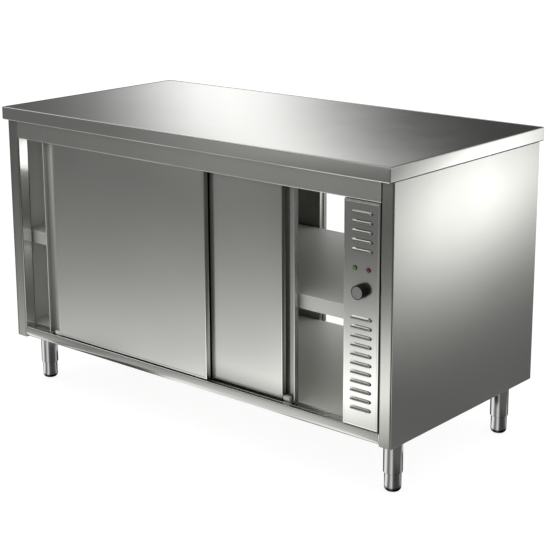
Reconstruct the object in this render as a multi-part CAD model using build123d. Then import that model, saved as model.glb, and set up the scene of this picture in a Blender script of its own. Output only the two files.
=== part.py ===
from build123d import *
import math
import os

# Ventilated plate warmer cabinet with a pass-through body and four sliding doors.
# Millimetres. X runs along the cabinet, Y from the front (-Y) to the back (+Y), Z up.
# The origin is the centre of the footprint, on the floor.

# Whole cabinet
length = 1400.0
depth = 700.0
height = 850.0
underside = 145.0              # floor to the bottom edge of the body

# Sheet thicknesses and general clearances
worktop_sheet = 1.5
body_sheet = 1.2
door_sheet = 1.0
running_gap = 0.3              # between pieces that move past each other
fit_gap = 0.05                 # radial, shaft in its bearing

# Worktop
worktop_edge = 38.0
worktop_overhang = 21.0        # past the frame, front and back
worktop_side_overhang = 1.0
worktop_return = 60.0          # flange under the front and back edges
worktop_side_return = 20.0
worktop_rounding = 1.4
stiffener_width = 60.0
stiffener_flange = 18.0
stiffener_height = 30.0
stiffener_offset = 160.0       # each side of the centre line
stiffener_end_gap = 30.0

# Frame
post_width = 40.0              # from the end of the worktop to the inner face of the post
post_depth = 40.0
post_wall = 1.5
fascia_drop = 55.0             # visible height below the worktop
hem_height = 12.0
rail_depth = 42.0              # fascia flange and sill, front to back
front_sill_top = 178.0
back_sill_top = 163.0
sill_return = 20.0
groove_width = 3.0
groove_depth = 6.0
floor_flange = 16.0

# Shelf
shelf_top = 470.0
shelf_fold = 38.0
shelf_setback = 45.0           # behind the frame's face, front and back
bracket_leg = 20.0
bracket_drop = 26.0
bracket_width = 60.0
bracket_inset = 40.0

# Heating compartment at the right-hand end
compartment_width = 110.0      # door opening to post
cover_gap = 2.0                # round the control panel and the back cover
cover_flange = 22.0
cover_lap = 12.0               # extra depth of the flange beside the compartment wall

# Sliding doors
door_width = 640.0
door_thickness = 15.0
door_recess = 4.0              # outer door face behind the frame's face
door_pitch = 19.0              # outer track to inner track
door_bottom_gap = 3.0
door_overlap = 15.0            # behind the fascia
door_end_gap = 0.5             # at each stop
handle_width = 42.0            # recessed channel with its end lip
handle_lip = 4.0
shoe_length = 20.0
shoe_height = 9.0
shoe_inset = 30.0
shoe_front = 3.0               # behind the door's face
tongue_width = 2.2
tongue_depth = 5.0             # below the sill
front_left_rest = 103.0        # from the left-hand stop
front_right_rest = 396.5
back_left_rest = 0.0
back_right_rest = 0.0

# Hangers, rollers and track
hanger_width = 30.0
hanger_plate = 2.0
hanger_setback = 5.0           # behind the door's face
hanger_root = 58.0             # welded height inside the door
hanger_inset = 70.0            # from the door's ends
roller_radius = 10.0
roller_width = 5.0
axle_radius = 3.0
axle_head_radius = 4.5
axle_head = 0.7
axle_above = 6.5               # top of the hanger above the axle
track_sheet = 1.5
track_lip = 3.0
roller_headroom = 4.0
lip_gap = 1.0

# Screws that hold track, fascia and worktop together
screw_radius = 2.5
screw_head_radius = 4.5
screw_head = 3.0
screw_setback = 26.0
screw_count = 4
screw_end_gap = 90.0

# Louvres of the control panel
louvre_length = 62.0
louvre_height = 8.0
louvre_depth = 6.0
louvre_pitch = 23.3
upper_louvres = 5
louvre_head_margin = 26.0      # fascia to the first upper louvre
louvre_knob_margin = 64.0      # knob axis to the first lower louvre
louvre_foot_margin = 40.0      # least sheet below the last louvre

# Controls
lamp_drop = 170.5              # fascia to the lamps' axes
lamp_spacing = 41.0
lamp_radius = 6.5
lamp_rise = 3.5
lamp_flange = 1.5
lamp_barrel_radius = 5.0
lamp_barrel = 24.0
knob_drop = 55.5               # lamps' axes to the knob's axis
knob_radius = 18.5
knob_length = 19.0
knob_taper = 0.8
knob_rounding = 1.2
knob_bore = 13.0
spindle_radius = 3.0
spindle_hole = 4.0
spindle_reach = 12.0           # inside the thermostat
thermostat_size = 38.0
thermostat_depth = 32.0

# Fan heater
duct_depth = 88.0
duct_size = 136.0
duct_height = 400.0            # centre above the floor
fan_radius = 50.0
fan_width = 38.0
fan_plate = 2.0
fan_hub_radius = 10.0
fan_blades = 12
fan_blade_sheet = 1.5
fan_wall_gap = 14.0            # wheel to the motor side of the duct
shaft_radius = 4.0
shaft_hole = 9.0               # in the end wall of the duct
shaft_reach = 30.0             # inside the motor
motor_radius = 33.0
motor_length = 44.0
motor_flange_radius = 44.0
motor_flange = 3.0
element_radius = 60.0
element_tube = 4.25
element_ferrule = 5.0          # radius of the cold ends
element_setback = 24.0         # from the compartment wall
element_terminal = 14.0
element_terminal_spacing = 40.0
vent_count = 7
vent_height = 5.0
vent_length = 110.0
vent_pitch = 18.0

# Supply connection
terminal_length = 60.0
terminal_height = 26.0
terminal_depth = 24.0
terminal_axis_height = 240.0
gland_axis_height = 215.0
gland_radius = 11.0
gland_length = 13.0
gland_nut_radius = 14.0
gland_nut = 6.0
gland_thread_radius = 8.0
gland_bore = 5.0

# Feet
foot_inset_x = 50.0
foot_inset_y = 100.0
sleeve_radius = 25.0
sleeve_wall = 2.3
sleeve_bottom = 50.0
sleeve_chamfer = 2.0
sleeve_plate = 70.0
sleeve_plate_sheet = 3.0
nut_bottom = 118.0
nut_height = 12.0
foot_radius = 22.0
foot_rounding = 11.0
foot_top = 90.0
stem_radius = 6.0
stem_top = 150.0

# Levels and lines that follow from the sizes above
body_top = height - worktop_edge
body_right = length / 2 - worktop_side_overhang
side_inner = body_right - body_sheet
frame_half = depth / 2 - worktop_overhang
post_inner = length / 2 - post_width
fascia_bottom = body_top - fascia_drop
flange_bottom = body_top - body_sheet
opening_left = -post_inner
opening_right = post_inner - compartment_width
wall_left = opening_right + body_sheet
wall_right = wall_left + body_sheet
panel_centre = (opening_right + post_inner) / 2
upper_louvre_top = fascia_bottom - louvre_head_margin
lamp_height = fascia_bottom - lamp_drop
knob_axis_height = lamp_height - knob_drop
lower_louvre_top = knob_axis_height - louvre_knob_margin
last_louvre_top = front_sill_top + louvre_foot_margin + louvre_height
lower_louvres = int((lower_louvre_top - last_louvre_top) / louvre_pitch) + 1
door_top = fascia_bottom + door_overlap
handle_start = door_width - handle_width
roller_front = hanger_setback + hanger_plate + lip_gap + body_sheet + running_gap
roller_back = roller_front + roller_width
web_front = roller_back + running_gap + axle_head + running_gap
axle_height = flange_bottom - track_sheet - roller_headroom - roller_radius
ledge_top = axle_height - roller_radius - running_gap
groove_setback = shoe_front + (door_thickness - door_sheet - shoe_front) / 2

FRONT = -1
BACK = 1
LEFT = -1
RIGHT = 1
OUTER_TRACK = door_recess
INNER_TRACK = door_recess + door_pitch
SIDE_NAMES = {FRONT: "front", BACK: "back"}
END_NAMES = {LEFT: "left", RIGHT: "right"}
SILL_TOPS = {FRONT: front_sill_top, BACK: back_sill_top}


def block(x_range, y_range, z_range):
    """Box between the low and high values given along each axis."""
    ranges = (x_range, y_range, z_range)
    size = [high - low for low, high in ranges]
    centre = [(high + low) / 2 for low, high in ranges]
    return Pos(*centre) * Box(*size)


def ordered(first, second):
    """The two values as a (low, high) range."""
    return (min(first, second), max(first, second))


def inset(side, near, far):
    """Y range between two distances behind the frame's face, at the front or the back."""
    return ordered(side * (frame_half - near), side * (frame_half - far))


def toward(end, near, far):
    """X range between two distances from the centre, towards the left or right end."""
    return ordered(end * near, end * far)


def rod_x(radius, x_range, y, z):
    """Round bar along X."""
    low, high = x_range
    return Pos((low + high) / 2, y, z) * Rot(0, 90, 0) * Cylinder(radius, high - low)


def rod_y(radius, x, y_range, z):
    """Round bar along Y."""
    low, high = y_range
    return Pos(x, (low + high) / 2, z) * Rot(90, 0, 0) * Cylinder(radius, high - low)


def rod_z(radius, x, y, z_range):
    """Round bar along Z."""
    low, high = z_range
    return Pos(x, y, (low + high) / 2) * Cylinder(radius, high - low)


# ---------------------------------------------------------------- worktop and frame


def worktop():
    """Folded top: sheet, skirt all round and return flanges that sit on the frame."""
    half_x = length / 2
    half_y = depth / 2
    skirt_bottom = body_top
    outer = block((-half_x, half_x), (-half_y, half_y), (skirt_bottom, height))
    outer = fillet(outer.edges(), worktop_rounding)
    inner_x = half_x - worktop_sheet
    inner_y = half_y - worktop_sheet
    hollow = block((-inner_x, inner_x), (-inner_y, inner_y),
                   (skirt_bottom + body_sheet, height - worktop_sheet))
    mouth_x = half_x - worktop_side_return
    mouth_y = half_y - worktop_return
    mouth = block((-mouth_x, mouth_x), (-mouth_y, mouth_y),
                  (skirt_bottom, skirt_bottom + body_sheet))
    return outer - hollow - mouth - screw_holes(FRONT) - screw_holes(BACK)


def worktop_stiffener(side):
    """Hat section spot-welded under the top sheet, with its flanges up."""
    centre = side * stiffener_offset
    x_range = (stiffener_end_gap - length / 2, length / 2 - stiffener_end_gap)
    top = height - worktop_sheet
    bottom = top - stiffener_height
    half = stiffener_width / 2
    edge = half + stiffener_flange
    hat = block(x_range, (centre - half, centre + half), (bottom, top))
    hat -= block(x_range, (centre - half + body_sheet, centre + half - body_sheet),
                 (bottom + body_sheet, top))
    hat += block(x_range, (centre - edge, centre - half), (top - body_sheet, top))
    hat += block(x_range, (centre + half, centre + edge), (top - body_sheet, top))
    return hat


def post(side, end):
    """Square corner tube between the body's bottom edge and the worktop."""
    z_range = (underside, body_top)
    tube = block(toward(end, post_inner, side_inner), inset(side, 0, post_depth), z_range)
    bore = block(toward(end, post_inner + post_wall, side_inner - post_wall),
                 inset(side, post_wall, post_depth - post_wall), z_range)
    return tube - bore


def side_panel(end):
    """Plain end panel, flush with the ends of the worktop."""
    return block(toward(end, side_inner, body_right), (-frame_half, frame_half),
                 (underside, body_top))


def fascia(side):
    """Top rail: front sheet with a closed hem at its bottom edge and a top flange."""
    x_range = (-post_inner, post_inner)
    rail = block(x_range, inset(side, 0, body_sheet), (fascia_bottom, body_top))
    rail += block(x_range, inset(side, 0, rail_depth), (flange_bottom, body_top))
    rail += block(x_range, inset(side, body_sheet, 2 * body_sheet),
                  (fascia_bottom, fascia_bottom + hem_height))
    return rail - screw_holes(side)


def sill(side):
    """Bottom rail: face, top flange with two folded guide grooves, bottom return."""
    x_range = (-post_inner, post_inner)
    top = SILL_TOPS[side]
    rail = block(x_range, inset(side, 0, body_sheet), (underside, top))
    rail += block(x_range, inset(side, 0, rail_depth), (top - body_sheet, top))
    rail += block(x_range, inset(side, 0, sill_return), (underside, underside + body_sheet))
    for track in (OUTER_TRACK, INNER_TRACK):
        near = track + groove_setback - groove_width / 2
        far = near + groove_width
        rail += block(x_range, inset(side, near - body_sheet, far + body_sheet),
                      (top - groove_depth - body_sheet, top))
        rail -= block(x_range, inset(side, near, far), (top - groove_depth, top))
    return rail


def floor_panel():
    """Bottom of the warm cabinet, from side panel to side panel, folded down at both sills."""
    y_half = frame_half - rail_depth
    x_range = (-side_inner, side_inner)
    panel = block(x_range, (-y_half, y_half), (front_sill_top - body_sheet, front_sill_top))
    for side in (FRONT, BACK):
        panel += block(x_range, inset(side, rail_depth, rail_depth + body_sheet),
                       (front_sill_top - floor_flange, front_sill_top))
    return panel


def compartment_wall():
    """Wall between the warm cabinet and the heating compartment, slotted over the duct."""
    x_range = (wall_left, wall_right)
    reach = frame_half - cover_flange
    wall = block(x_range, (-reach, reach), (front_sill_top, flange_bottom))
    wall += block(x_range, (frame_half - rail_depth, reach), (back_sill_top, front_sill_top))
    lowest = duct_height - vent_pitch * (vent_count - 1) / 2
    for index in range(vent_count):
        z = lowest + index * vent_pitch
        wall -= block(x_range, (-vent_length / 2, vent_length / 2),
                      (z - vent_height / 2, z + vent_height / 2))
    return wall


# ---------------------------------------------------------------- shelf


def shelf():
    """Intermediate shelf with a deep fold on all four edges."""
    x_range = (-side_inner, wall_left)
    y_half = frame_half - shelf_setback
    bottom = shelf_top - shelf_fold
    tray = block(x_range, (-y_half, y_half), (bottom, shelf_top))
    tray -= block((x_range[0] + body_sheet, x_range[1] - body_sheet),
                  (-y_half + body_sheet, y_half - body_sheet), (bottom, shelf_top - body_sheet))
    return tray


def shelf_brackets():
    """Four angles that carry the shelf from the side panel and the compartment wall."""
    top = shelf_top - shelf_fold
    y_far = frame_half - shelf_setback - bracket_inset
    walls = ((-side_inner, RIGHT), (wall_left, LEFT))
    angles = []
    for side in (FRONT, BACK):
        y_range = ordered(side * y_far, side * (y_far - bracket_width))
        for wall_x, direction in walls:
            leg = block(ordered(wall_x, wall_x + direction * bracket_leg), y_range,
                        (top - body_sheet, top))
            leg += block(ordered(wall_x, wall_x + direction * body_sheet), y_range,
                         (top - bracket_drop, top))
            angles.append(leg)
    return Compound(children=angles)


# ---------------------------------------------------------------- door track


def track(side):
    """Roll-formed double track: one flange with a hooked ledge for each row of doors."""
    x_range = (opening_left, wall_left)
    top = flange_bottom
    last_web = INNER_TRACK + web_front + track_sheet
    rail = block(x_range, inset(side, OUTER_TRACK + hanger_setback, last_web),
                 (top - track_sheet, top))
    for face in (OUTER_TRACK, INNER_TRACK):
        web = face + web_front
        lip = face + roller_front - running_gap - body_sheet
        rail += block(x_range, inset(side, web, web + track_sheet),
                      (ledge_top - track_sheet, top))
        rail += block(x_range, inset(side, lip, web), (ledge_top - track_sheet, ledge_top))
        rail += block(x_range, inset(side, lip, lip + body_sheet),
                      (ledge_top, ledge_top + track_lip))
    return rail - screw_holes(side)


def screw_places():
    """X positions of the screws along one track."""
    first = opening_left + screw_end_gap
    last = opening_right - screw_end_gap
    step = (last - first) / (screw_count - 1)
    return [first + index * step for index in range(screw_count)]


def screw_line(side):
    """Y position of the screws, between the two rows of rollers."""
    return side * (frame_half - screw_setback)


def screw_holes(side):
    """Clearance bodies for the screws through track, fascia and worktop flange."""
    z_range = (flange_bottom - track_sheet, body_top + body_sheet)
    return [rod_z(screw_radius, x, screw_line(side), z_range) for x in screw_places()]


def screws():
    """Flat-headed screws, driven upwards through the tracks."""
    seat = flange_bottom - track_sheet
    tip = body_top + body_sheet
    bodies = []
    for side in (FRONT, BACK):
        for x in screw_places():
            screw = rod_z(screw_radius, x, screw_line(side), (seat, tip))
            screw += rod_z(screw_head_radius, x, screw_line(side), (seat - screw_head, seat))
            bodies.append(screw)
    return Compound(children=bodies)


# ---------------------------------------------------------------- sliding doors


class Door:
    """Place of one sliding door: which row it hangs in and where it stands at rest."""

    def __init__(self, side, end, handle, face, rest):
        self.name = SIDE_NAMES[side] + "_" + END_NAMES[end] + "_door"
        self.side = side
        self.handle = handle
        self.face = face
        self.left = opening_left + door_end_gap + rest
        self.bottom = SILL_TOPS[side] + door_bottom_gap

    def across(self, near, far):
        """X range measured from the plain end of the door towards its handle."""
        start = self.left if self.handle == RIGHT else self.left + door_width
        return ordered(start + self.handle * near, start + self.handle * far)

    def behind(self, near, far):
        """Y range measured inwards from the door's outer face."""
        return inset(self.side, self.face + near, self.face + far)


def door_skin(door):
    """Outer tray with a full-height finger channel and a narrow lip at the handle end."""
    z_range = (door.bottom, door_top)
    back = door_thickness
    skin = block(door.across(0, handle_start), door.behind(0, door_sheet), z_range)
    skin += block(door.across(0, door_sheet), door.behind(0, back), z_range)
    skin += block(door.across(handle_start - door_sheet, handle_start), door.behind(0, back),
                  z_range)
    skin += block(door.across(handle_start - door_sheet, door_width),
                  door.behind(back - door_sheet, back), z_range)
    skin += block(door.across(door_width - door_sheet, door_width), door.behind(0, back),
                  z_range)
    skin += block(door.across(door_width - handle_lip, door_width),
                  door.behind(0, door_sheet), z_range)
    for low in (door.bottom, door_top - door_sheet):
        skin += block(door.across(0, handle_start), door.behind(0, back),
                      (low, low + door_sheet))
    for plate in hanger_plates(door):
        skin -= plate
    skin -= shoe_body(door, shoe_inset)
    return skin


def hanger_centres():
    """Distances of the hangers from the plain end of the door."""
    return (hanger_inset, handle_start - hanger_inset)


def hanger_plates(door):
    """Upright plates that carry the axles, standing through the top of the door."""
    z_range = (door_top - hanger_root, axle_height + axle_above)
    depth_range = door.behind(hanger_setback, hanger_setback + hanger_plate)
    half = hanger_width / 2
    return [block(door.across(centre - half, centre + half), depth_range, z_range)
            for centre in hanger_centres()]


def door_liner(door):
    """Inner skin with its two welded hangers and their axles."""
    inner = door_thickness - door_sheet
    liner = block(door.across(door_sheet, handle_start - door_sheet),
                  door.behind(inner, door_thickness),
                  (door.bottom + door_sheet, door_top - door_sheet))
    root = door_top - hanger_root
    plate_back = hanger_setback + hanger_plate
    head_front = roller_back + running_gap
    for centre, plate in zip(hanger_centres(), hanger_plates(door)):
        half = hanger_width / 2
        liner += plate
        liner += block(door.across(centre - half, centre + half),
                       door.behind(hanger_setback, inner), (root, root + hanger_plate))
        x = sum(door.across(centre, centre)) / 2
        liner += rod_y(axle_radius, x, door.behind(plate_back, head_front), axle_height)
        liner += rod_y(axle_head_radius, x, door.behind(head_front, head_front + axle_head),
                       axle_height)
    return liner


def door_roller(door, centre):
    """Nylon roller that runs on the ledge of the track."""
    x = sum(door.across(centre, centre)) / 2
    depth_range = door.behind(roller_front, roller_back)
    roller = rod_y(roller_radius, x, depth_range, axle_height)
    return roller - rod_y(axle_radius + fit_gap, x, depth_range, axle_height)


def shoe_body(door, start):
    """Block of a guide shoe, inside the thickness of the door."""
    return block(door.across(start, start + shoe_length),
                 door.behind(shoe_front, door_thickness - door_sheet),
                 (door.bottom, door.bottom + shoe_height))


def door_shoes(door):
    """Two guide shoes: one inside the door, one in the foot of the finger channel."""
    tongue_front = groove_setback - tongue_width / 2
    z_range = (SILL_TOPS[door.side] - tongue_depth, door.bottom)
    shoes = []
    for start in (shoe_inset, handle_start):
        shoe = shoe_body(door, start)
        shoe += block(door.across(start, start + shoe_length),
                      door.behind(tongue_front, tongue_front + tongue_width), z_range)
        shoes.append(shoe)
    return Compound(children=shoes)


# ---------------------------------------------------------------- heating compartment


def cover_tray(side):
    """Folded cover between the door opening and the right-hand post."""
    x_low = opening_right
    x_high = post_inner - cover_gap
    z_low = SILL_TOPS[side] + cover_gap
    z_high = fascia_bottom - cover_gap
    tray = block((x_low, x_high), inset(side, 0, cover_flange), (z_low, z_high))
    tray -= block((x_low + body_sheet, x_high - body_sheet),
                  inset(side, body_sheet, cover_flange),
                  (z_low + body_sheet, z_high - body_sheet))
    tray += block((x_low, x_low + body_sheet), inset(side, 0, cover_flange + cover_lap),
                  (z_low, z_high))
    return tray


def louvre_tops():
    """Heights of the top edges of all louvres."""
    upper = [upper_louvre_top - index * louvre_pitch for index in range(upper_louvres)]
    lower = [lower_louvre_top - index * louvre_pitch for index in range(lower_louvres)]
    return upper + lower


def louvre_bulge(shrink, z_top):
    """Quarter of an elliptic bar, outside the panel, with its flat side down."""
    half = louvre_length / 2 - shrink
    lip = z_top - louvre_height
    bar = Pos(panel_centre, -frame_half, lip) * extrude(
        Plane.YZ * Ellipse(louvre_depth - shrink, louvre_height - shrink), half, both=True)
    quarter = block((panel_centre - half, panel_centre + half),
                    (-frame_half - louvre_depth, -frame_half), (lip, z_top))
    return bar & quarter


def control_panel():
    """Front cover of the compartment, with pressed louvres and holes for the controls."""
    panel = cover_tray(FRONT)
    sheet = inset(FRONT, 0, body_sheet)
    half = louvre_length / 2 - body_sheet
    tops = louvre_tops()
    panel += [louvre_bulge(0, z_top) for z_top in tops]
    panel -= [louvre_bulge(body_sheet, z_top) for z_top in tops]
    panel -= [block((panel_centre - half, panel_centre + half), sheet,
                    (z_top - louvre_height, z_top - body_sheet)) for z_top in tops]
    for end in (LEFT, RIGHT):
        panel -= rod_y(lamp_barrel_radius, lamp_x(end), sheet, lamp_height)
    panel -= rod_y(spindle_hole, panel_centre, sheet, knob_axis_height)
    return panel


def back_cover():
    """Plain cover at the back of the compartment, with the hole for the cable gland."""
    hole = rod_y(gland_thread_radius, panel_centre, inset(BACK, 0, body_sheet),
                 gland_axis_height)
    return cover_tray(BACK) - hole


def lamp_x(end):
    """X position of a pilot lamp."""
    return panel_centre + end * lamp_spacing / 2


def pilot_lamp(end):
    """Pilot lamp moulded in one piece: domed lens, flange and barrel."""
    x = lamp_x(end)
    face = -frame_half
    flange = rod_y(lamp_radius, x, (face - lamp_flange, face), lamp_height)
    dome = rod_y(lamp_radius - lamp_flange / 2, x, (face - lamp_rise, face - lamp_flange),
                 lamp_height)
    dome = fillet(dome.edges().sort_by(Axis.Y)[0], lamp_rise / 2)
    barrel = rod_y(lamp_barrel_radius, x, (face, face + lamp_barrel), lamp_height)
    return flange + dome + barrel


def thermostat_knob():
    """Round control knob, tapered a little towards its flat face."""
    front = -frame_half - running_gap - knob_length
    base = -frame_half - running_gap
    axis = Pos(panel_centre, base, knob_axis_height) * Rot(90, 0, 0)
    body = axis * Cone(knob_radius, knob_radius - knob_taper, knob_length,
                       align=(Align.CENTER, Align.CENTER, Align.MIN))
    body = fillet(body.edges().sort_by(Axis.Y)[0], knob_rounding)
    bore = rod_y(spindle_radius, panel_centre, (front + knob_length - knob_bore, base),
                 knob_axis_height)
    return body - bore


def thermostat_spindle():
    """Turning spindle between the thermostat and the knob."""
    base = -frame_half - running_gap
    reach = -frame_half + body_sheet + spindle_reach
    return rod_y(spindle_radius, panel_centre, (base - knob_bore, reach), knob_axis_height)


def thermostat_body():
    """Thermostat housing behind the panel, bored for its spindle."""
    half = thermostat_size / 2
    front = -frame_half + body_sheet
    housing = block((panel_centre - half, panel_centre + half),
                    (front, front + thermostat_depth),
                    (knob_axis_height - half, knob_axis_height + half))
    bearing = rod_y(spindle_radius + fit_gap, panel_centre,
                    (front, front + spindle_reach + running_gap), knob_axis_height)
    return housing - bearing


def air_duct():
    """Sheet housing on the compartment wall, open towards the vents."""
    half = duct_size / 2
    outer = wall_right + duct_depth
    duct = block((wall_right, outer), (-half, half), (duct_height - half, duct_height + half))
    duct -= block((wall_right, outer - body_sheet), (-half + body_sheet, half - body_sheet),
                  (duct_height - half + body_sheet, duct_height + half - body_sheet))
    end_wall = (outer - body_sheet, outer)
    duct -= rod_x(shaft_hole, end_wall, 0, duct_height)
    for y in element_legs():
        duct -= rod_x(element_ferrule, end_wall, y, duct_height - leg_drop())
    return duct


def element_legs():
    """Y positions of the two cold ends of the heating element."""
    return (-element_terminal_spacing / 2, element_terminal_spacing / 2)


def leg_drop():
    """Drop of the cold ends below the fan axis, where they meet the ring."""
    return math.sqrt(element_radius ** 2 - (element_terminal_spacing / 2) ** 2)


def heating_element():
    """Tubular ring round the fan wheel, with two cold ends through the duct."""
    x_ring = wall_right + element_setback
    ring = Pos(x_ring, 0, duct_height) * Rot(0, 90, 0) * Torus(element_radius, element_tube)
    tip = wall_right + duct_depth + element_terminal
    for y in element_legs():
        ring += rod_x(element_ferrule, (x_ring, tip), y, duct_height - leg_drop())
    return ring


def fan_wheel():
    """Radial wheel with its hub, blades and shaft."""
    plate_high = wall_right + duct_depth - body_sheet - fan_wall_gap
    plate_low = plate_high - fan_plate
    blade_low = plate_low - fan_width
    wheel = rod_x(fan_radius, (plate_low, plate_high), 0, duct_height)
    wheel += rod_x(fan_hub_radius, (blade_low, plate_low), 0, duct_height)
    blade_inner = fan_hub_radius + fan_width / 2
    for index in range(fan_blades):
        blade = block((blade_low, plate_low), (blade_inner, fan_radius),
                      (-fan_blade_sheet / 2, fan_blade_sheet / 2))
        turn = Pos(0, 0, duct_height) * Rot(360.0 * index / fan_blades, 0, 0)
        wheel += turn * blade
    shaft_end = wall_right + duct_depth + shaft_reach
    wheel += rod_x(shaft_radius, (plate_high, shaft_end), 0, duct_height)
    return wheel


def fan_motor():
    """Motor on the outside of the duct, bored for the fan shaft."""
    start = wall_right + duct_depth
    motor = rod_x(motor_flange_radius, (start, start + motor_flange), 0, duct_height)
    motor += rod_x(motor_radius, (start + motor_flange, start + motor_length), 0, duct_height)
    return motor - rod_x(shaft_radius + fit_gap, (start, start + shaft_reach + running_gap),
                         0, duct_height)


def terminal_block():
    """Supply terminals on the compartment wall, above the floor."""
    y_high = frame_half - rail_depth - terminal_length
    return block((wall_right, wall_right + terminal_depth),
                 (y_high - terminal_length, y_high),
                 (terminal_axis_height - terminal_height / 2,
                  terminal_axis_height + terminal_height / 2))


def cable_gland():
    """Compression gland in the back cover, with its nut inside."""
    face = frame_half
    gland = rod_y(gland_radius, panel_centre, (face, face + gland_length), gland_axis_height)
    gland += rod_y(gland_thread_radius, panel_centre, (face - body_sheet - gland_nut, face),
                   gland_axis_height)
    gland += rod_y(gland_nut_radius, panel_centre,
                   (face - body_sheet - gland_nut, face - body_sheet), gland_axis_height)
    bore = rod_y(gland_bore, panel_centre,
                 (face - body_sheet - gland_nut, face + gland_length), gland_axis_height)
    return gland - bore


# ---------------------------------------------------------------- feet


def foot_place(side, end):
    """Centre of a foot on the floor."""
    return (end * (length / 2 - foot_inset_x), side * (depth / 2 - foot_inset_y))


def foot_sleeve(side, end):
    """Fixed leg tube with its top plate and the welded nut of the levelling stem."""
    x, y = foot_place(side, end)
    top = front_sill_top - body_sheet
    tube = rod_z(sleeve_radius, x, y, (sleeve_bottom, top))
    tube = chamfer(tube.edges().sort_by(Axis.Z)[0], sleeve_chamfer)
    tube -= rod_z(sleeve_radius - sleeve_wall, x, y, (sleeve_bottom, nut_bottom))
    tube -= rod_z(sleeve_radius - sleeve_wall, x, y, (nut_bottom + nut_height, top))
    tube -= rod_z(stem_radius + fit_gap, x, y, (nut_bottom, nut_bottom + nut_height))
    half = sleeve_plate / 2
    plate = block((x - half, x + half), (y - half, y + half), (top - sleeve_plate_sheet, top))
    return tube + plate


def foot_adjuster(side, end):
    """Levelling foot with a rounded end and a threaded stem."""
    x, y = foot_place(side, end)
    foot = rod_z(foot_radius, x, y, (0, foot_top))
    foot = fillet(foot.edges().sort_by(Axis.Z)[0], foot_rounding)
    return foot + rod_z(stem_radius, x, y, (foot_top, stem_top))


# ---------------------------------------------------------------- all nodes


def body_nodes():
    """Every fixed piece of the cabinet by name."""
    nodes = {
        "worktop": worktop(),
        "worktop_stiffeners": Compound(children=[worktop_stiffener(side)
                                                 for side in (FRONT, BACK)]),
        "floor_panel": floor_panel(),
        "compartment_wall": compartment_wall(),
        "shelf": shelf(),
        "shelf_brackets": shelf_brackets(),
        "track_screws": screws(),
        "control_panel": control_panel(),
        "back_cover": back_cover(),
        "pilot_lamp_green": pilot_lamp(LEFT),
        "pilot_lamp_red": pilot_lamp(RIGHT),
        "thermostat_body": thermostat_body(),
        "air_duct": air_duct(),
        "heating_element": heating_element(),
        "fan_motor": fan_motor(),
        "terminal_block": terminal_block(),
        "cable_gland": cable_gland(),
    }
    for end in (LEFT, RIGHT):
        nodes["side_panel_" + END_NAMES[end]] = side_panel(end)
    for side in (FRONT, BACK):
        name = SIDE_NAMES[side]
        nodes["fascia_" + name] = fascia(side)
        nodes["sill_" + name] = sill(side)
        nodes["door_track_" + name] = track(side)
        for end in (LEFT, RIGHT):
            corner = name + "_" + END_NAMES[end]
            nodes["post_" + corner] = post(side, end)
            nodes["foot_sleeve_" + corner] = foot_sleeve(side, end)
    return nodes


def moving_nodes():
    """Every moving piece of the cabinet by name, in its place at rest."""
    nodes = {
        "thermostat_knob": thermostat_knob(),
        "thermostat_spindle": thermostat_spindle(),
        "fan_wheel": fan_wheel(),
    }
    doors = (
        Door(FRONT, LEFT, LEFT, OUTER_TRACK, front_left_rest),
        Door(FRONT, RIGHT, RIGHT, INNER_TRACK, front_right_rest),
        Door(BACK, LEFT, LEFT, INNER_TRACK, back_left_rest),
        Door(BACK, RIGHT, RIGHT, OUTER_TRACK, back_right_rest),
    )
    for door in doors:
        nodes[door.name + "_skin"] = door_skin(door)
        nodes[door.name + "_liner"] = door_liner(door)
        nodes[door.name + "_shoes"] = door_shoes(door)
        for label, centre in zip(("plain_end", "handle_end"), hanger_centres()):
            nodes[door.name + "_roller_" + label] = door_roller(door, centre)
    for side in (FRONT, BACK):
        for end in (LEFT, RIGHT):
            corner = SIDE_NAMES[side] + "_" + END_NAMES[end]
            nodes["foot_adjuster_" + corner] = foot_adjuster(side, end)
    return nodes


os.makedirs("parts", exist_ok=True)
for name, shape in {**body_nodes(), **moving_nodes()}.items():
    export_step(shape, "parts/" + name + ".step")
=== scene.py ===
# %% [markdown]
# # A ventilated plate warmer cabinet
# A stainless steel cupboard on four levelling feet. It opens on both long sides
# through sliding doors, and a fan heater sits behind a louvred panel at its
# right-hand end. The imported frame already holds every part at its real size, in
# metres. This lesson dresses it: first the camera and the room, then the finishes,
# and then the folded, pressed and turned parts one after another.

# %% Load the frame
import bmesh
import bpy
import math
import numpy as np
from mathutils import Matrix, Vector


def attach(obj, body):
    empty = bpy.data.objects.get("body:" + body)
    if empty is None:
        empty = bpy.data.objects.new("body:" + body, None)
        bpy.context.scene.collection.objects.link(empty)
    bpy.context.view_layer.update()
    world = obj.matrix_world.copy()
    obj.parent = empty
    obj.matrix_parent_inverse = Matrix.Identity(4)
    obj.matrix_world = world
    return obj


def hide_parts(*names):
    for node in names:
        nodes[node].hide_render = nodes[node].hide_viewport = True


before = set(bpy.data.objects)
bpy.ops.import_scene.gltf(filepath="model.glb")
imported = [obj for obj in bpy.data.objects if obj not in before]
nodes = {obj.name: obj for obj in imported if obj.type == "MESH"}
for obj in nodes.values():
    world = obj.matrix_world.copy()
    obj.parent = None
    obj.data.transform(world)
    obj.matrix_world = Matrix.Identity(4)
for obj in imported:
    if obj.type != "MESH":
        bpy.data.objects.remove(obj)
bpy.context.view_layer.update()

# %% [markdown]
# ## Sizes from the frame
# New sheet metal has to fit the parts of the frame. Its sizes could be typed in, but
# then they would stay behind when the frame changes. So they are read from the
# nodes, in millimetres, which suit sheet metal better than metres. X runs along the
# cabinet, Y from its front to its back, and Z upwards from the floor.

# %% Read the main sizes
millimetre = 0.001


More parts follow.
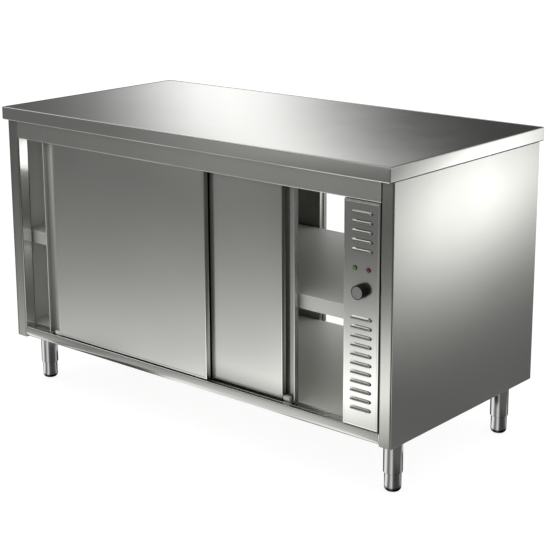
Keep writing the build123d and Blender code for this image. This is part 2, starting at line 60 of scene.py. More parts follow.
def extent(part):
    """Low and high corner of a node of the frame, to a tenth of a millimetre."""
    mesh = nodes[part].data
    places = np.empty(3 * len(mesh.vertices), np.float32)
    mesh.vertices.foreach_get("co", places)
    places = places.reshape(-1, 3).astype(float) / millimetre
    return np.round(places.min(axis=0), 1), np.round(places.max(axis=0), 1)


def middle_of(part):
    """Middle of a node, halfway between the corners of its extent."""
    low, high = extent(part)
    return 0.5 * (low + high)


sides = {"front": -1, "back": 1}
ends = {"left": -1, "right": 1}
top_low, top_high = extent("worktop")
length, depth, _ = top_high - top_low
body_top, height = top_low[2], top_high[2]
(post_inner, post_front, underside), (side_inner, post_back, _) = extent("post_front_right")
frame_half = -post_front
fascia_bottom = extent("fascia_front")[0][2]
sill_tops = {name: extent("sill_" + name)[1][2] for name in sides}
print(f"cabinet: {length:.0f} long, {depth:.0f} deep, {height:.0f} high")

# %% [markdown]
# ## The camera
# A long cabinet seen from above its right-hand front corner shows the front, the
# end and the top at once. One could aim a camera by hand, or with a Track To
# constraint. Here its three axes are worked out from two angles, because then the
# view is exact and easy to change: `back` points from the cabinet to the camera,
# `right` and `up` span the image, and two small slides centre the cabinet in it.
# A slight lens shift keeps the upright edges nearer to upright.

# %% Stand the camera
azimuth, elevation, roll = np.radians((40.48, 13.48, -0.245))
image_side, sensor = 550, 36.0
focal_pixels, shift_pixels = 1427.0, -64.0
distance, slide_right, slide_up = 4.0911, 0.0383, 0.1477
aim = Vector((0.0, 0.0, 0.5 * height * millimetre))

back = Vector((math.sin(azimuth) * math.cos(elevation),
               -math.cos(azimuth) * math.cos(elevation), math.sin(elevation)))
level = Vector((math.cos(azimuth), math.sin(azimuth), 0.0))
right = level * math.cos(roll) + back.cross(level) * math.sin(roll)
up = back.cross(right)
eye = aim + back * distance + right * slide_right + up * slide_up

camera = bpy.data.objects.new("camera", bpy.data.cameras.new("camera"))
bpy.context.scene.collection.objects.link(camera)
camera.matrix_world = Matrix((right, up, back)).transposed().to_4x4()
camera.location = eye
camera.data.sensor_width = sensor
camera.data.lens = sensor * focal_pixels / image_side
camera.data.shift_y = shift_pixels / image_side
camera.data.clip_end = 100.0
bpy.context.scene.camera = camera
bpy.context.scene.view_settings.view_transform = "Standard"
print("camera:", round(camera.data.lens, 1), "mm lens at",
      [round(value, 2) for value in eye])

# %% [markdown]
# ## A small kit for shader nodes
# Materials and the room are both node trees. Wiring them by hand takes many lines,
# so a few helpers do it: `wire` makes a node and feeds its inputs in order, `calc`
# is a Math node, `product` a row of them, `ramp` turns a number between 0 and 1 into
# a shade, `ease` is a smooth step and `mixed` a colour between two others.

# %% Helpers for nodes
def wire(tree, kind, *feeds, **settings):
    """New node; each feed is a value or another node's output, None leaves the input."""
    node = tree.nodes.new("ShaderNode" + kind)
    for name, value in settings.items():
        setattr(node, name, value)
    for socket, feed in zip(node.inputs, feeds):
        if isinstance(feed, bpy.types.NodeSocket):
            tree.links.new(feed, socket)
        elif feed is not None:
            socket.default_value = feed
    return node


def calc(tree, operation, *feeds):
    """Output of a Math node."""
    return wire(tree, "Math", *feeds, operation=operation).outputs[0]


def product(tree, value, *others):
    """All the feeds multiplied together."""
    for other in others:
        value = calc(tree, "MULTIPLY", value, other)
    return value


def ramp(tree, value, stops):
    """Colour at `value` along stops of (position, shade or colour)."""
    node = wire(tree, "ValToRGB", value)
    points = node.color_ramp.elements
    while len(points) < len(stops):
        points.new(0.5)
    for point, (position, shade) in zip(points, stops):
        point.position = position
    for point, (position, shade) in zip(points, stops):
        point.color = (*np.broadcast_to(shade, 3).tolist(), 1.0)
    return node.outputs[0]


def ease(tree, value, low, high, start=0.0, end=1.0):
    """Smooth step from `start` to `end` while `value` goes from low to high."""
    return wire(tree, "MapRange", value, low, high, start, end,
                interpolation_type="SMOOTHSTEP").outputs[0]


def mixed(tree, factor, first, second):
    """Colour between two colours."""
    node = wire(tree, "Mix", factor, data_type="RGBA")
    for socket, feed in ((node.inputs[6], first), (node.inputs[7], second)):
        if isinstance(feed, bpy.types.NodeSocket):
            tree.links.new(feed, socket)
        else:
            socket.default_value = (*feed, 1.0)
    return node.outputs[2]


print("node helpers: wire, calc, product, ramp, ease, mixed")

# %% [markdown]
# ## Three kinds of rays
# Brushed metal has hardly any colour of its own: it shows the room. So the room and
# the floor have three jobs, which the Light Path node keeps apart. To a straight
# look they are white paper, dull surfaces get an even light from them, and only
# glossy rays see their soft boxes and pools of light. `light` draws such a box or
# pool from a list of places and levels. The ramp inside it holds no shade above 1,
# so all levels are shares of `glow`, the strength that multiplies them again.

# %% Helpers for light
glow = 1.7
white = (1.0, 1.0, 1.0, 1.0)


def light(tree, value, low, high, stops, full=glow):
    """Shade at `value` along stops of (place, level) from low to high; 1 stands for `full`."""
    share = calc(tree, "MULTIPLY_ADD", value, 1.0 / (high - low), -low / (high - low))
    return ramp(tree, share, [((place - low) / (high - low), level / full)
                              for place, level in stops])


def by_ray(tree, output, dull, glossy, straight):
    """Gives dull rays, glossy rays and straight looks a shader each."""
    path = wire(tree, "LightPath").outputs
    unseen = wire(tree, "MixShader", path["Is Glossy Ray"], dull, glossy).outputs[0]
    looks = calc(tree, "MAXIMUM", path["Is Camera Ray"], path["Is Transmission Ray"])
    wire(tree, output, wire(tree, "MixShader", looks, unseen, straight).outputs[0])


print("light helpers: light, by_ray, with a glow of", glow)

# %% [markdown]
# ## The room
# Steel is lit with a few soft boxes and dark gaps between them, so that each sheet
# gets its own shade and every fold a line. A ring of area lamps would do, but a
# world whose brightness depends on the heading is smoother and needs no lamps. The
# headings are degrees: 0 looks past the back of the cabinet, 90 past its left-hand
# end. One ring of boxes stands near the horizon and another one higher up. Rays
# that rise more are turned a little, so that the highlight crosses the worktop at
# a slant.

# %% Light the room
horizon = [(-180, .60), (-150, .25), (-120, .20), (-90, .50), (-60, 1.0), (-30, 1.0),
           (0, .35), (15, .12), (31, .05), (33, .05), (34.6, .085), (36.2, .165), (37.8, .38),
           (39.4, .77), (41.2, 1.27), (43.2, 1.38), (45, .94), (46.6, .50), (48, .26),
           (50, .14), (56, .10), (75, .20), (90, .35), (120, .16), (150, .16), (180, .60)]
ceiling = [(-180, .40), (-120, .45), (-60, .25), (-20, .08), (20, .12), (52, .30), (88, .30),
           (98, 1.6), (115.5, 1.6), (121, .40), (132, .22), (150, .30), (180, .40)]
turn_from, turn_span, turn_rate = 0.1754, 0.1, 1.1
horizon_to, ceiling_from = 0.28, 0.56
world = bpy.data.worlds.new("studio")
bpy.context.scene.world = world
world.use_nodes = True
room = world.node_tree
room.nodes.clear()
x, y, z = wire(room, "SeparateXYZ", wire(room, "TexCoord").outputs["Generated"]).outputs
risen = calc(room, "MAXIMUM", calc(room, "SUBTRACT", z, turn_from), 0.0)
turned_by = product(room, calc(room, "MINIMUM", risen, turn_span), turn_rate)
heading = calc(room, "ARCTAN2", calc(room, "MULTIPLY", x, -1.0), y)
heading = calc(room, "DEGREES", calc(room, "ADD", heading, turned_by))
low_ring = light(room, heading, -180, 180, horizon)
high_ring = light(room, heading, -180, 180, ceiling)
shade = mixed(room, ease(room, z, horizon_to, ceiling_from), low_ring, high_ring)
paper = wire(room, "Background", white, 1.0).outputs[0]
boxes = wire(room, "Background", shade, glow).outputs[0]
by_ray(room, "OutputWorld", paper, boxes, paper)
print("room:", len(horizon), "headings near the horizon,", len(ceiling), "above")

# %% [markdown]
# ## The floor
# The floor is a plain pale disc, much wider than the cabinet, so that no mirror shows
# its rim. Its shades are functions of two distances in metres from the middle.
# `ahead` runs to the front left, which is the way that a look from the front right
# takes once the doors have turned it back. `aside` runs across it, to the front
# right, and so it grows along the front of the cabinet.

# %% Lay the floor
def disc(radius, count=96):
    """Flat round face: radius times (cos a, sin a) for angles a all the way round."""
    angle = np.linspace(0.0, 2.0 * np.pi, count, endpoint=False)
    rim = np.stack((radius * np.cos(angle), radius * np.sin(angle), 0.0 * angle), axis=1)
    mesh = bpy.data.meshes.new("floor")
    mesh.from_pydata(rim.tolist(), [], [list(range(count))])
    return bpy.data.objects.new("floor", mesh)


floor_radius = 14.0
floor = disc(floor_radius)
bpy.context.scene.collection.objects.link(floor)
paint = bpy.data.materials.new("pale_floor")
paint.use_nodes = True
floor.data.materials.append(paint)
tree = paint.node_tree
tree.nodes.clear()
x, y, z = wire(tree, "SeparateXYZ", wire(tree, "TexCoord").outputs["Object"]).outputs
ahead = product(tree, calc(tree, "ADD", x, y), -math.sqrt(0.5))
aside = product(tree, calc(tree, "SUBTRACT", x, y), math.sqrt(0.5))
print("floor: a disc with a radius of", floor_radius, "m")

# %% [markdown]
# ## The pool before the cabinet
# An upright sheet that is seen from above mirrors the floor before it, its foot the
# near floor and its top the far floor. So one list of levels along `ahead` shades
# the doors from their feet to their tops. Three lanes then change the pool sideways:
# more light far out, for the right of the fascia and of the worktop's edge, more for
# the foot of the control panel, and less for the panel above it. Each lane rises and
# falls along `ahead`, grows along `aside` and ends at a gain. Past the right-hand end
# the floor is evenly dark, which the lower half of that end mirrors.

# %% Light the near pool
near_pool = [(-0.5, .30), (-0.2, .70), (0.0, 1.0), (0.22, 1.0), (0.45, 1.4), (0.6, 1.25),
             (0.9, .86), (1.3, .68), (1.8, .46), (2.4, .34), (3.1, .26), (3.8, .20), (6.3, .185),
             (7.4, .22), (9.0, .36), (11.0, .55)]
pool_low, pool_high, past_rim = -1.0, 11.0, (20.0, 21.0)
lanes = [((3.6, 4.4), past_rim, (-0.4, 1.6), 2.1), ((0.25, 0.5), (0.9, 1.3), (0.48, 0.72), 0.5),
         ((0.8, 1.7), (3.2, 4.1), (0.55, 1.05), -0.55)]
front_pool = light(tree, ahead, pool_low, pool_high, near_pool)
for rise, fall, across, gain in lanes:
    lane = product(tree, ease(tree, ahead, *rise), ease(tree, ahead, *fall, 1.0, 0.0),
                   ease(tree, aside, *across, 0.0, gain))
    front_pool = product(tree, front_pool, calc(tree, "ADD", lane, 1.0))
end_level, end_zone = 0.165 / glow, (0.5, 0.8)
before_end = ease(tree, x, *end_zone, 1.0, 0.0)
front_pool = calc(tree, "MULTIPLY_ADD", calc(tree, "SUBTRACT", front_pool, end_level),
                  before_end, end_level)
print("near pool:", len(near_pool), "levels and", len(lanes), "lanes")

# %% [markdown]
# ## The pool behind the cabinet
# The right-hand end turns the look to the back right, where `ahead` is below zero, and
# its wide highlight is a pool on the floor there. The pool is the product of a list
# of levels along `ahead` and a bell curve across a line that slants a little.

# %% Light the far pool
def mound(tree, value, centre, width):
    """Bell curve e^(-u*u/2) with u = (value - centre) / width."""
    u = calc(tree, "MULTIPLY_ADD", value, 1.0 / width, -centre / width)
    return calc(tree, "EXPONENT", product(tree, u, u, -0.5))


far_levels = [(-5.0, .60), (-4.4, .95), (-3.8, 1.0), (-3.3, .86), (-2.8, .56), (-2.35, .325),
              (-1.95, .17), (-1.6, .075), (-1.3, .03), (-1.0, .0)]
far_low, far_high, far_strength = -5.0, -1.0, 2.9
slant, pool_centre, pool_width = -0.36, 1.10, 0.20
slanting = calc(tree, "MULTIPLY_ADD", ahead, slant, aside)
far_pool = product(tree, light(tree, ahead, far_low, far_high, far_levels, full=1.0),
                   far_strength / glow, mound(tree, slanting, pool_centre, pool_width))
pools = calc(tree, "ADD", front_pool, far_pool)
print("far pool:", len(far_levels), "levels")

# %% [markdown]
# ## Light and dark round the feet
# A polished leg is a mirror bent round, and shows its whole surroundings as narrow
# stripes. White and black cards, stood close round such a part, give it a few clear
# ones. The floor near each foot takes their place: its level depends on the
# direction from the nearest foot, in degrees, with 0 towards the viewer and 90 to
# the viewer's right. Right beneath a foot these levels fade out, and so they do half
# a metre from it and past the right-hand end, where the pools begin again.

# %% Light the floor round the feet
foot_x, foot_y = millimetre * np.abs(middle_of("foot_adjuster_front_right")[:2])
around_foot = [(-180, .04), (-130, .06), (-118, .8), (-98, 1.5), (-80, 1.1), (-64, .30),
               (-48, .25), (-34, .7), (-18, 1.1), (-8, .45), (2, .12), (30, .07), (78, .12),
               (92, .5), (106, .55), (118, .10), (135, .05), (180, .04)]
view_sine, view_cosine = math.sin(azimuth), math.cos(azimuth)
beneath, beneath_level, beside_foot, past_end = (0.036, 0.058), 0.08, (0.36, 0.50), (0.78, 0.88)
off_x = calc(tree, "SUBTRACT", x, product(tree, calc(tree, "SIGN", x), foot_x))
off_y = calc(tree, "SUBTRACT", y, product(tree, calc(tree, "SIGN", y), foot_y))
to_eye = calc(tree, "SUBTRACT", product(tree, off_x, view_sine), product(tree, off_y, view_cosine))
to_right = calc(tree, "ADD", product(tree, off_x, view_cosine), product(tree, off_y, view_sine))
bearing = calc(tree, "DEGREES", calc(tree, "ARCTAN2", to_right, to_eye))
cards = light(tree, bearing, -180, 180, around_foot)
off = calc(tree, "SQRT", calc(tree, "ADD", product(tree, to_eye, to_eye),
                              product(tree, to_right, to_right)))
cards = product(tree, cards, ease(tree, off, *beneath, beneath_level, 1.0))
near_foot = product(tree, ease(tree, off, *beside_foot, 1.0, 0.0),
                    ease(tree, x, *past_end, 1.0, 0.0))
pools = mixed(tree, near_foot, pools, cards)
print("round each foot:", len(around_foot), "levels, feet at", foot_x, foot_y)

# %% [markdown]
# ## The floor's paint
# For straight looks the floor is mostly glowing white, with a little plain grey
# beneath it. Only the grey takes a shadow, so the shadow stays soft and pale.

# %% Paint the floor
plain_grey, shadow_grey, paper_glow = (0.8, 0.8, 0.8, 1.0), (0.22, 0.22, 0.22, 1.0), 0.87
dull_floor = wire(tree, "BsdfDiffuse", plain_grey).outputs[0]
bright_floor = wire(tree, "Emission", pools, glow).outputs[0]
pale_floor = wire(tree, "AddShader", wire(tree, "BsdfDiffuse", shadow_grey).outputs[0],
                  wire(tree, "Emission", white, paper_glow).outputs[0]).outputs[0]
by_ray(tree, "OutputMaterial", dull_floor, bright_floor, pale_floor)
print("floor painted:", len(tree.nodes), "nodes")

# %% [markdown]
# ## A small kit for finishes
# Every finish starts alike: a material, its shader, and the Object coordinates, which
# stay with a part wherever it moves. Image textures would need files and unwrapped
# meshes, while noise on these coordinates fits every part at its real size. Squeezed
# along an axis it becomes scratches or lathe rings, and a Bump node turns it into
# relief.

# %% Helpers for finishes
black = (0.0, 0.0, 0.0)


def surface(name):
    """New material; gives it with its tree, its shader and its Object coordinates."""
    material = bpy.data.materials.new(name)
    material.use_nodes = True
    tree = material.node_tree
    place = wire(tree, "TexCoord").outputs["Object"]
    return material, tree, tree.nodes["Principled BSDF"], place


def noise(tree, place, scale, stretch=(1.0, 1.0, 1.0), detail=2.0):
    """Grey noise around 0.5, squeezed along each axis by `stretch`."""
    squeezed = wire(tree, "Mapping", place).outputs[0]
    squeezed.node.inputs["Scale"].default_value = stretch
    node = wire(tree, "TexNoise", squeezed)
    node.inputs["Scale"].default_value = scale
    node.inputs["Detail"].default_value = detail
    return node.outputs["Fac"]


def uneven(tree, middle, swing, pattern):
    """Number that a pattern around 0.5 moves up to half of `swing` away from `middle`."""
    return calc(tree, "MULTIPLY_ADD", pattern, swing, middle - 0.5 * swing)


def scaled(shade, factor):
    """Colour times a factor, with no channel above 1."""
    return [min(1.0, value * factor) for value in shade]


def bumped(tree, shader, height, strength, depth):
    """Feeds a Bump node with `height` into the shader's normal; depth in metres."""
    node = wire(tree, "Bump", strength, depth)
    tree.links.new(height, node.inputs["Height"])
    tree.links.new(node.outputs[0], shader.inputs["Normal"])


print("finish helpers: surface, noise, uneven, scaled, bumped")

# %% [markdown]
# ## Brushed stainless steel
# Brushed sheet is drawn under an abrasive belt, which leaves fine parallel scratches.
# They could be an image of scratches, but a noise pattern squeezed across the grain
# gives them at any distance. The grain moves the roughness and a faint bump, and a
# slow cloud pattern moves the shade a little, as handling does. Each piece carries an
# attribute of painted light. Above zero, on bends, cut edges and lips, it paints a
# highlight and makes the sheet a little smoother. Below zero, in channels, corners and
# on some faces, it paints shade. An Ambient Occlusion node paints shade into the nooks,
# and a door gets a painted shade towards its foot, near its track.

# %% Brushed steel
# Painted light: the tone of painted highlights, their share and how much smoother they make the
# sheet, and the tone share of painted shade.
highlight_tone, highlight_share, highlight_smoother = (0.74, 0.74, 0.72), 0.7, 0.10
shaded_share = 0.42
scratch_swing, cloud_swing = 0.04, 0.06
scratch_bump, scratch_depth = 0.14, 0.00002
# Reach and strength of the painted shade in corners, from an Ambient Occlusion value.
nook_reach, nook_closed, nook_open, nook_samples = 0.07, 0.30, 0.95, 8
slow_clouds = 4.0
# Painted shade at a door's foot: its share of black and the height over which it fades out.
foot_shade_share, foot_shade_fade = 0.42, 0.06


def brushed_steel(name, shade, roughness, grain, clouds=0.05, metallic=1.0, nook_shade=0.45,
                  foot_shade_line=None):
    """Sheet with its grain along the axis on which `grain` is small.

    `clouds` is the share by which the shade drifts, the next number the share that painted
    shade takes from it in a deep corner, and the last the height in metres below which shade is
    painted on it.
    """
    material, tree, shader, place = surface(name)
    shader.inputs["Metallic"].default_value = metallic
    scratches = noise(tree, place, 1.0, grain, detail=3.0)
    cloud = noise(tree, place, slow_clouds, detail=3.0)
    # Painted light from the piece's attribute: a painted highlight where it is above zero, painted
    # shade where it is below.
    painted_light = wire(tree, "Attribute", attribute_name="painted_light").outputs["Fac"]
    highlighted = calc(tree, "MAXIMUM", painted_light, 0.0)
    dull = calc(tree, "MAXIMUM", product(tree, painted_light, -1.0), 0.0)
    tone = mixed(tree, cloud, scaled(shade, 1.0 - clouds), scaled(shade, 1.0 + clouds))
    tone = mixed(tree, dull, tone, scaled(shade, shaded_share))
    tone = mixed(tree, product(tree, highlighted, highlight_share), tone, highlight_tone)
    # Painted shade in corners and gaps, from an Ambient Occlusion value.
    nook = wire(tree, "AmbientOcclusion", samples=nook_samples)
    nook.inputs["Distance"].default_value = nook_reach
    reached = ease(tree, nook.outputs["AO"], nook_closed, nook_open)
    tone = mixed(tree, reached, mixed(tree, nook_shade, tone, black), tone)
    # Painted shade that darkens a door towards its foot, near its track.
    if foot_shade_line is not None:
        z = wire(tree, "SeparateXYZ", place).outputs[2]
        foot_shade = ease(tree, z, foot_shade_line, foot_shade_line + foot_shade_fade, foot_shade_share, 0.0)
        tone = mixed(tree, foot_shade, tone, black)
    tree.links.new(tone, shader.inputs["Base Color"])
    rough = uneven(tree, roughness - 0.5 * cloud_swing, scratch_swing, scratches)
    rough = calc(tree, "MULTIPLY_ADD", cloud, cloud_swing, rough)
    rough = calc(tree, "MULTIPLY_ADD", highlighted, -highlight_smoother, rough)
    tree.links.new(rough, shader.inputs["Roughness"])
    bumped(tree, shader, scratches, scratch_bump, scratch_depth)
    return material


print("brushed steel: rubbed bright to", highlight_tone)

# %% [markdown]
# ## One steel, many sheets
# All sheets are of one steel, but each was brushed, rolled or wiped in its own way. So
# each has a finish of its own, from three numbers: its shade, its roughness and the
# direction of its grain. The worktop is the smoothest, because it is wiped every day.
# Sheet inside the cabinet isn't polished and also gets much light from its neighbours,
# so it is set half matt: a full mirror in there would show nothing but black.

# %% Mix the steel finishes
along_x, along_z = (9, 1500, 1500), (1500, 1500, 9)
steel = (0.60, 0.603, 0.570)
# Below this height the inner doors get a painted shade.
foot_shade_height = millimetre * sill_tops["front"]
# The corner share of each finish is the painted shade it gets in nooks.
rail_steel = brushed_steel("rail_steel", steel, 0.24, along_x, nook_shade=0.25)
door_steel = brushed_steel("door_steel", steel, 0.18, along_z, nook_shade=0.35)
foot_shaded_steel = brushed_steel("foot_shaded_door_steel", steel, 0.18, along_z, nook_shade=0.35,
                            foot_shade_line=foot_shade_height)
channel_steel = brushed_steel("channel_steel", (0.74, 0.742, 0.70), 0.22, along_z, metallic=0.55)
panel_steel = brushed_steel("panel_steel", steel, 0.18, along_z, nook_shade=0.3)
post_steel = brushed_steel("post_steel", (0.44, 0.442, 0.412), 0.20, along_z)
end_steel = brushed_steel("end_steel", steel, 0.19, along_z, clouds=0.03)
top_steel = brushed_steel("top_steel", (0.63, 0.632, 0.60), 0.12, along_x, clouds=0.03)
inner_steel = brushed_steel("inner_steel", (0.80, 0.802, 0.76), 0.50, along_x, metallic=0.35,
                            nook_shade=0.2)
liner_steel = brushed_steel("liner_steel", (0.48, 0.482, 0.455), 0.34, along_z, clouds=0.06,
                            nook_shade=0.3)
print("steel finishes: rail, door, foot_shaded door, channel, panel, post, end, top, inner, liner")

# %% [markdown]
# ## Sheet in section
# Nearly every part of this cabinet is folded from thin sheet. A Solidify modifier on
# a bent strip would do, but drawing the section exactly is just as short and keeps
# both faces true. `folded_section` takes the corners of the sheet's middle line,
# swaps each corner for an arc, and steps half a thickness to both sides. The two
# returned lines have the same number of points, so that any end can be closed with
# plain four-sided faces. Short straight lengths beside each arc keep the big flat
# faces shading flat, and a cut edge is rounded over in three steps.

# %% Swap the corners of a line for arcs
def unit(vectors):
    """Vectors divided by their lengths."""
    return vectors / np.linalg.norm(vectors, axis=-1, keepdims=True)


def bend_arcs(corner, radius, steps):
    """Arcs for the inner corners of a line, their directions, and how far each reaches.

    With `back` and `ahead` the unit directions from a corner P to its neighbours and
    h half the angle between them, an arc of radius r starts r / tan h before P, and
    its centre lies r / sin h from P along back + ahead.
    """
    way = unit(np.diff(corner, axis=0))
    back, ahead = -way[:-1], way[1:]
    half = 0.5 * np.arccos(np.clip((back * ahead).sum(axis=1), -1.0, 1.0))
    reach = radius / np.tan(half)
    centre = corner[1:-1] + unit(back + ahead) * (radius / np.sin(half))[:, None]
    turn = np.sign(way[:-1, 0] * way[1:, 1] - way[:-1, 1] * way[1:, 0]) * (np.pi - 2.0 * half)
    angle = turn[:, None] * np.linspace(0.0, 1.0, steps + 1)
    cos, sin = np.cos(angle), np.sin(angle)
    spin = np.stack((np.stack((cos, -sin), -1), np.stack((sin, cos), -1)), -2)
    spoke = corner[1:-1] + back * reach[:, None] - centre
    arc = centre[:, None] + np.einsum("ijkl,il->ijk", spin, spoke)
    return arc, np.einsum("ijkl,il->ijk", spin, -back), reach


quarter_turn, _, _ = bend_arcs(np.array(((0.0, 9.0), (0.0, 0.0), (9.0, 0.0))), 2.0, 6)
print("an arc starts at", quarter_turn[0, 0].round(3), "and ends at", quarter_turn[0, -1].round(3))

# %% Give the line its thickness
thick_sheet, plain_sheet, thin_sheet = 1.5, 1.2, 1.0
edge_depths = np.array((0.0, 0.12, 0.35))
edge_thickness = np.array((0.45, 0.85, 1.0))
edge_fold = np.array((1.0, 1.0, 0.0))
longest_flat, flat_share = 0.5, 0.4


def folded_section(corners, bends, sheet, steps=6):
    """Both sides of a folded sheet, and its fold value: 1 on arcs and cut edges, else 0.

    A side point is a point of the middle line plus or minus half the sheet along the
    line's normal. Near a cut edge, at `edge_depths` times the sheet from it, the sheet
    has only `edge_thickness` times its thickness.
    """
    corner = np.asarray(corners, float)
    radius = np.broadcast_to(np.asarray(bends, float), len(corner) - 2)
    arc, arc_way, reach = bend_arcs(corner, radius, steps)
    run = np.diff(corner, axis=0)
    way = unit(run)
    spare = np.linalg.norm(run, axis=1)
    spare[1:] -= reach
    spare[:-1] -= reach
    flat = np.minimum(longest_flat, flat_share * spare)[:, None]
    before = arc[:, :1] - (way[:-1] * flat[:-1])[:, None]
    after = arc[:, -1:] + (way[1:] * flat[1:])[:, None]
    middle = np.concatenate((before, arc, after), axis=1).reshape(-1, 2)
    heading = np.concatenate((way[:-1, None], arc_way, way[1:, None]), axis=1).reshape(-1, 2)
    is_fold = np.tile(np.r_[0.0, np.ones(steps + 1), 0.0], len(radius))
    edge = sheet * edge_depths[:, None]
    middle = np.concatenate((corner[0] + way[0] * edge, middle, corner[-1] - way[-1] * edge[::-1]))
    heading = np.concatenate((np.tile(way[0], (len(edge), 1)), heading,
                              np.tile(way[-1], (len(edge), 1))))
    thick = np.concatenate((edge_thickness, np.ones(len(is_fold)), edge_thickness[::-1]))
    fold = np.concatenate((edge_fold, is_fold, edge_fold[::-1]))
    normal = np.stack((-heading[:, 1], heading[:, 0]), axis=1)
    step = normal * (0.5 * sheet * thick)[:, None]
    return middle + step, middle - step, fold


angle_section = folded_section([(0, 20), (0, 0), (30, 0)], 2.0, plain_sheet)
print("a plain angle takes", 2 * len(angle_section[0]), "section points")

# %% [markdown]
# ## From section to sheet metal
# A section becomes a part in two ways. Drawn straight along an axis it is a rail or
# a channel. Carried round a rectangle it is a pan: a face with folds on all four
# sides, such as a door, a shelf or the worktop. Blender's Extrude and Spin could make
# both, but as arrays they keep exact sizes. Each function gives the points, the faces
# and the `fold` value of one closed shell, in the part's own three directions.

# %% Draw a section along an axis
def squares(rows, columns, close_rows=False, close_columns=False):
    """Corner numbers of the four-sided faces of a grid of points, row by row."""
    row = np.arange(rows if close_rows else rows - 1)[:, None]
    column = np.arange(columns if close_columns else columns - 1)[None, :]
    below, beside = (row + 1) % rows, (column + 1) % columns
    corners = (row * columns + column, row * columns + beside,
               below * columns + beside, below * columns + column)
    return np.stack([np.broadcast_to(part, (row.size, column.size)) for part in corners],
                    axis=-1).reshape(-1, 4)


def drawn(section, low, high):
    """Points (u, v, w): the closed section ring at w = low and again at w = high."""
    first, second, fold = section
    ring = np.concatenate((first, second[::-1]))
    count = len(first)
    points = np.concatenate([np.column_stack((ring, np.full(len(ring), w)))
                             for w in (low, high)])
    near = np.arange(count - 1)
    cap = np.stack((near, near + 1, 2 * count - 2 - near, 2 * count - 1 - near), axis=1)
    faces = np.concatenate((squares(2, 2 * count, close_columns=True), cap, cap + 2 * count))
    return points, faces.tolist(), np.tile(np.concatenate((fold, fold[::-1])), 2)


print("a drawn angle has", len(drawn(angle_section, 0, 100)[1]), "faces")

# %% Carry a section round a rectangle
def rounded_ring(half_u, half_v, radius, steps=6, near=0.5):
    """Rectangle with round corners: corner centre + radius * (cos a, sin a), with one
    straight point just before and after each corner. Sizes may be arrays, one ring each."""
    half_u, half_v, radius = np.broadcast_arrays(half_u, half_v, radius)
    turn = np.linspace(0.0, 0.5 * np.pi, steps + 1)
    turn = np.concatenate((turn[:1], turn, turn[-1:]))
    angle = (turn + 0.5 * np.pi * np.arange(4)[:, None]).ravel()
    slide = np.tile(np.r_[-near, np.zeros(steps + 1), near], 4)
    quarter = np.repeat(np.arange(4), steps + 3)
    sign_u = np.array((1, -1, -1, 1))[quarter]
    sign_v = np.array((1, 1, -1, -1))[quarter]
    cos, sin = np.cos(angle), np.sin(angle)
    u = sign_u * (half_u - radius)[..., None] + radius[..., None] * cos - slide * sin
    v = sign_v * (half_v - radius)[..., None] + radius[..., None] * sin + slide * cos
    return np.stack((u, v), axis=-1)


sharpest = 0.05


def stacked(rings, heights):
    """Points (u, v, w) of rings that each lie at a height of their own."""
    rows, columns = rings.shape[:2]
    w = np.broadcast_to(np.asarray(heights, float)[:, None, None], (rows, columns, 1))
    return np.concatenate((rings, w), axis=2).reshape(-1, 3)


def layers(rows, columns, open_middle=False):
    """Faces between rings; the first and the last ring get a flat face each, or meet."""
    faces = squares(rows, columns, close_rows=open_middle, close_columns=True).tolist()
    if not open_middle:
        faces += [list(range(columns)), list(range((rows - 1) * columns, rows * columns))]
    return faces


def pan(half_u, half_v, section_u, section_v=None, corner=2.0, open_middle=False):
    """Sheet folded on four sides. Section points are (inset, w): ring i is a rounded
    rectangle smaller by its insets, at height w. The flat middle closes both faces."""
    section_v = section_v or section_u
    inset_u = np.concatenate((section_u[0][::-1, 0], section_u[1][:, 0]))
    inset_v = np.concatenate((section_v[0][::-1, 0], section_v[1][:, 0]))
    level = np.concatenate((section_u[0][::-1, 1], section_u[1][:, 1]))
    radius = np.maximum(corner - np.minimum(inset_u, inset_v), sharpest)
    rings = rounded_ring(half_u - inset_u, half_v - inset_v, radius)
    rows, columns = rings.shape[:2]
    fold = section_u[2].copy()
    if not open_middle:
        fold[-len(edge_fold):] = 0.0
    return (stacked(rings, level), layers(rows, columns, open_middle),
            np.repeat(np.concatenate((fold[::-1], fold)), columns))


small_pan = pan(100, 50, folded_section([(0.5, -15), (0.5, -0.5), (6, -0.5)], 1.6, thin_sheet))
print("a small pan has", len(small_pan[0]), "points and", len(small_pan[1]), "faces")

# %% [markdown]
# ## Making an object
# `dress` places shells in the frame and makes them one object. Each shell is merged
# along its seams by itself, the faces are turned outwards, and edges sharper than 35
# degrees stay crisp while bends shade smoothly. The object then rides on its body,
# stands for the nodes it replaces and takes its materials in slots.

# %% Dress a node
flat_axes = ((1, 0, 0), (0, 1, 0), (0, 0, 1))
seam_gap, crisp_angle = 2e-6, 35


def placed(shell, origin, axes, dull=0.0, highlighted=1.0):
    """Shell moved from its own directions: origin + u * U + v * V + w * W, millimetres.
    Its fold value times the highlight gain gives painted light on its bends: a highlight
    if the gain is positive, shade if it is negative. Where the fold is 0 it gets the
    shade argument as painted shade."""
    points, faces, fold = shell
    points = np.asarray(origin, float) + points @ np.asarray(axes, float)
    return points, faces, np.where(fold != 0.0, fold * highlighted, -dull)


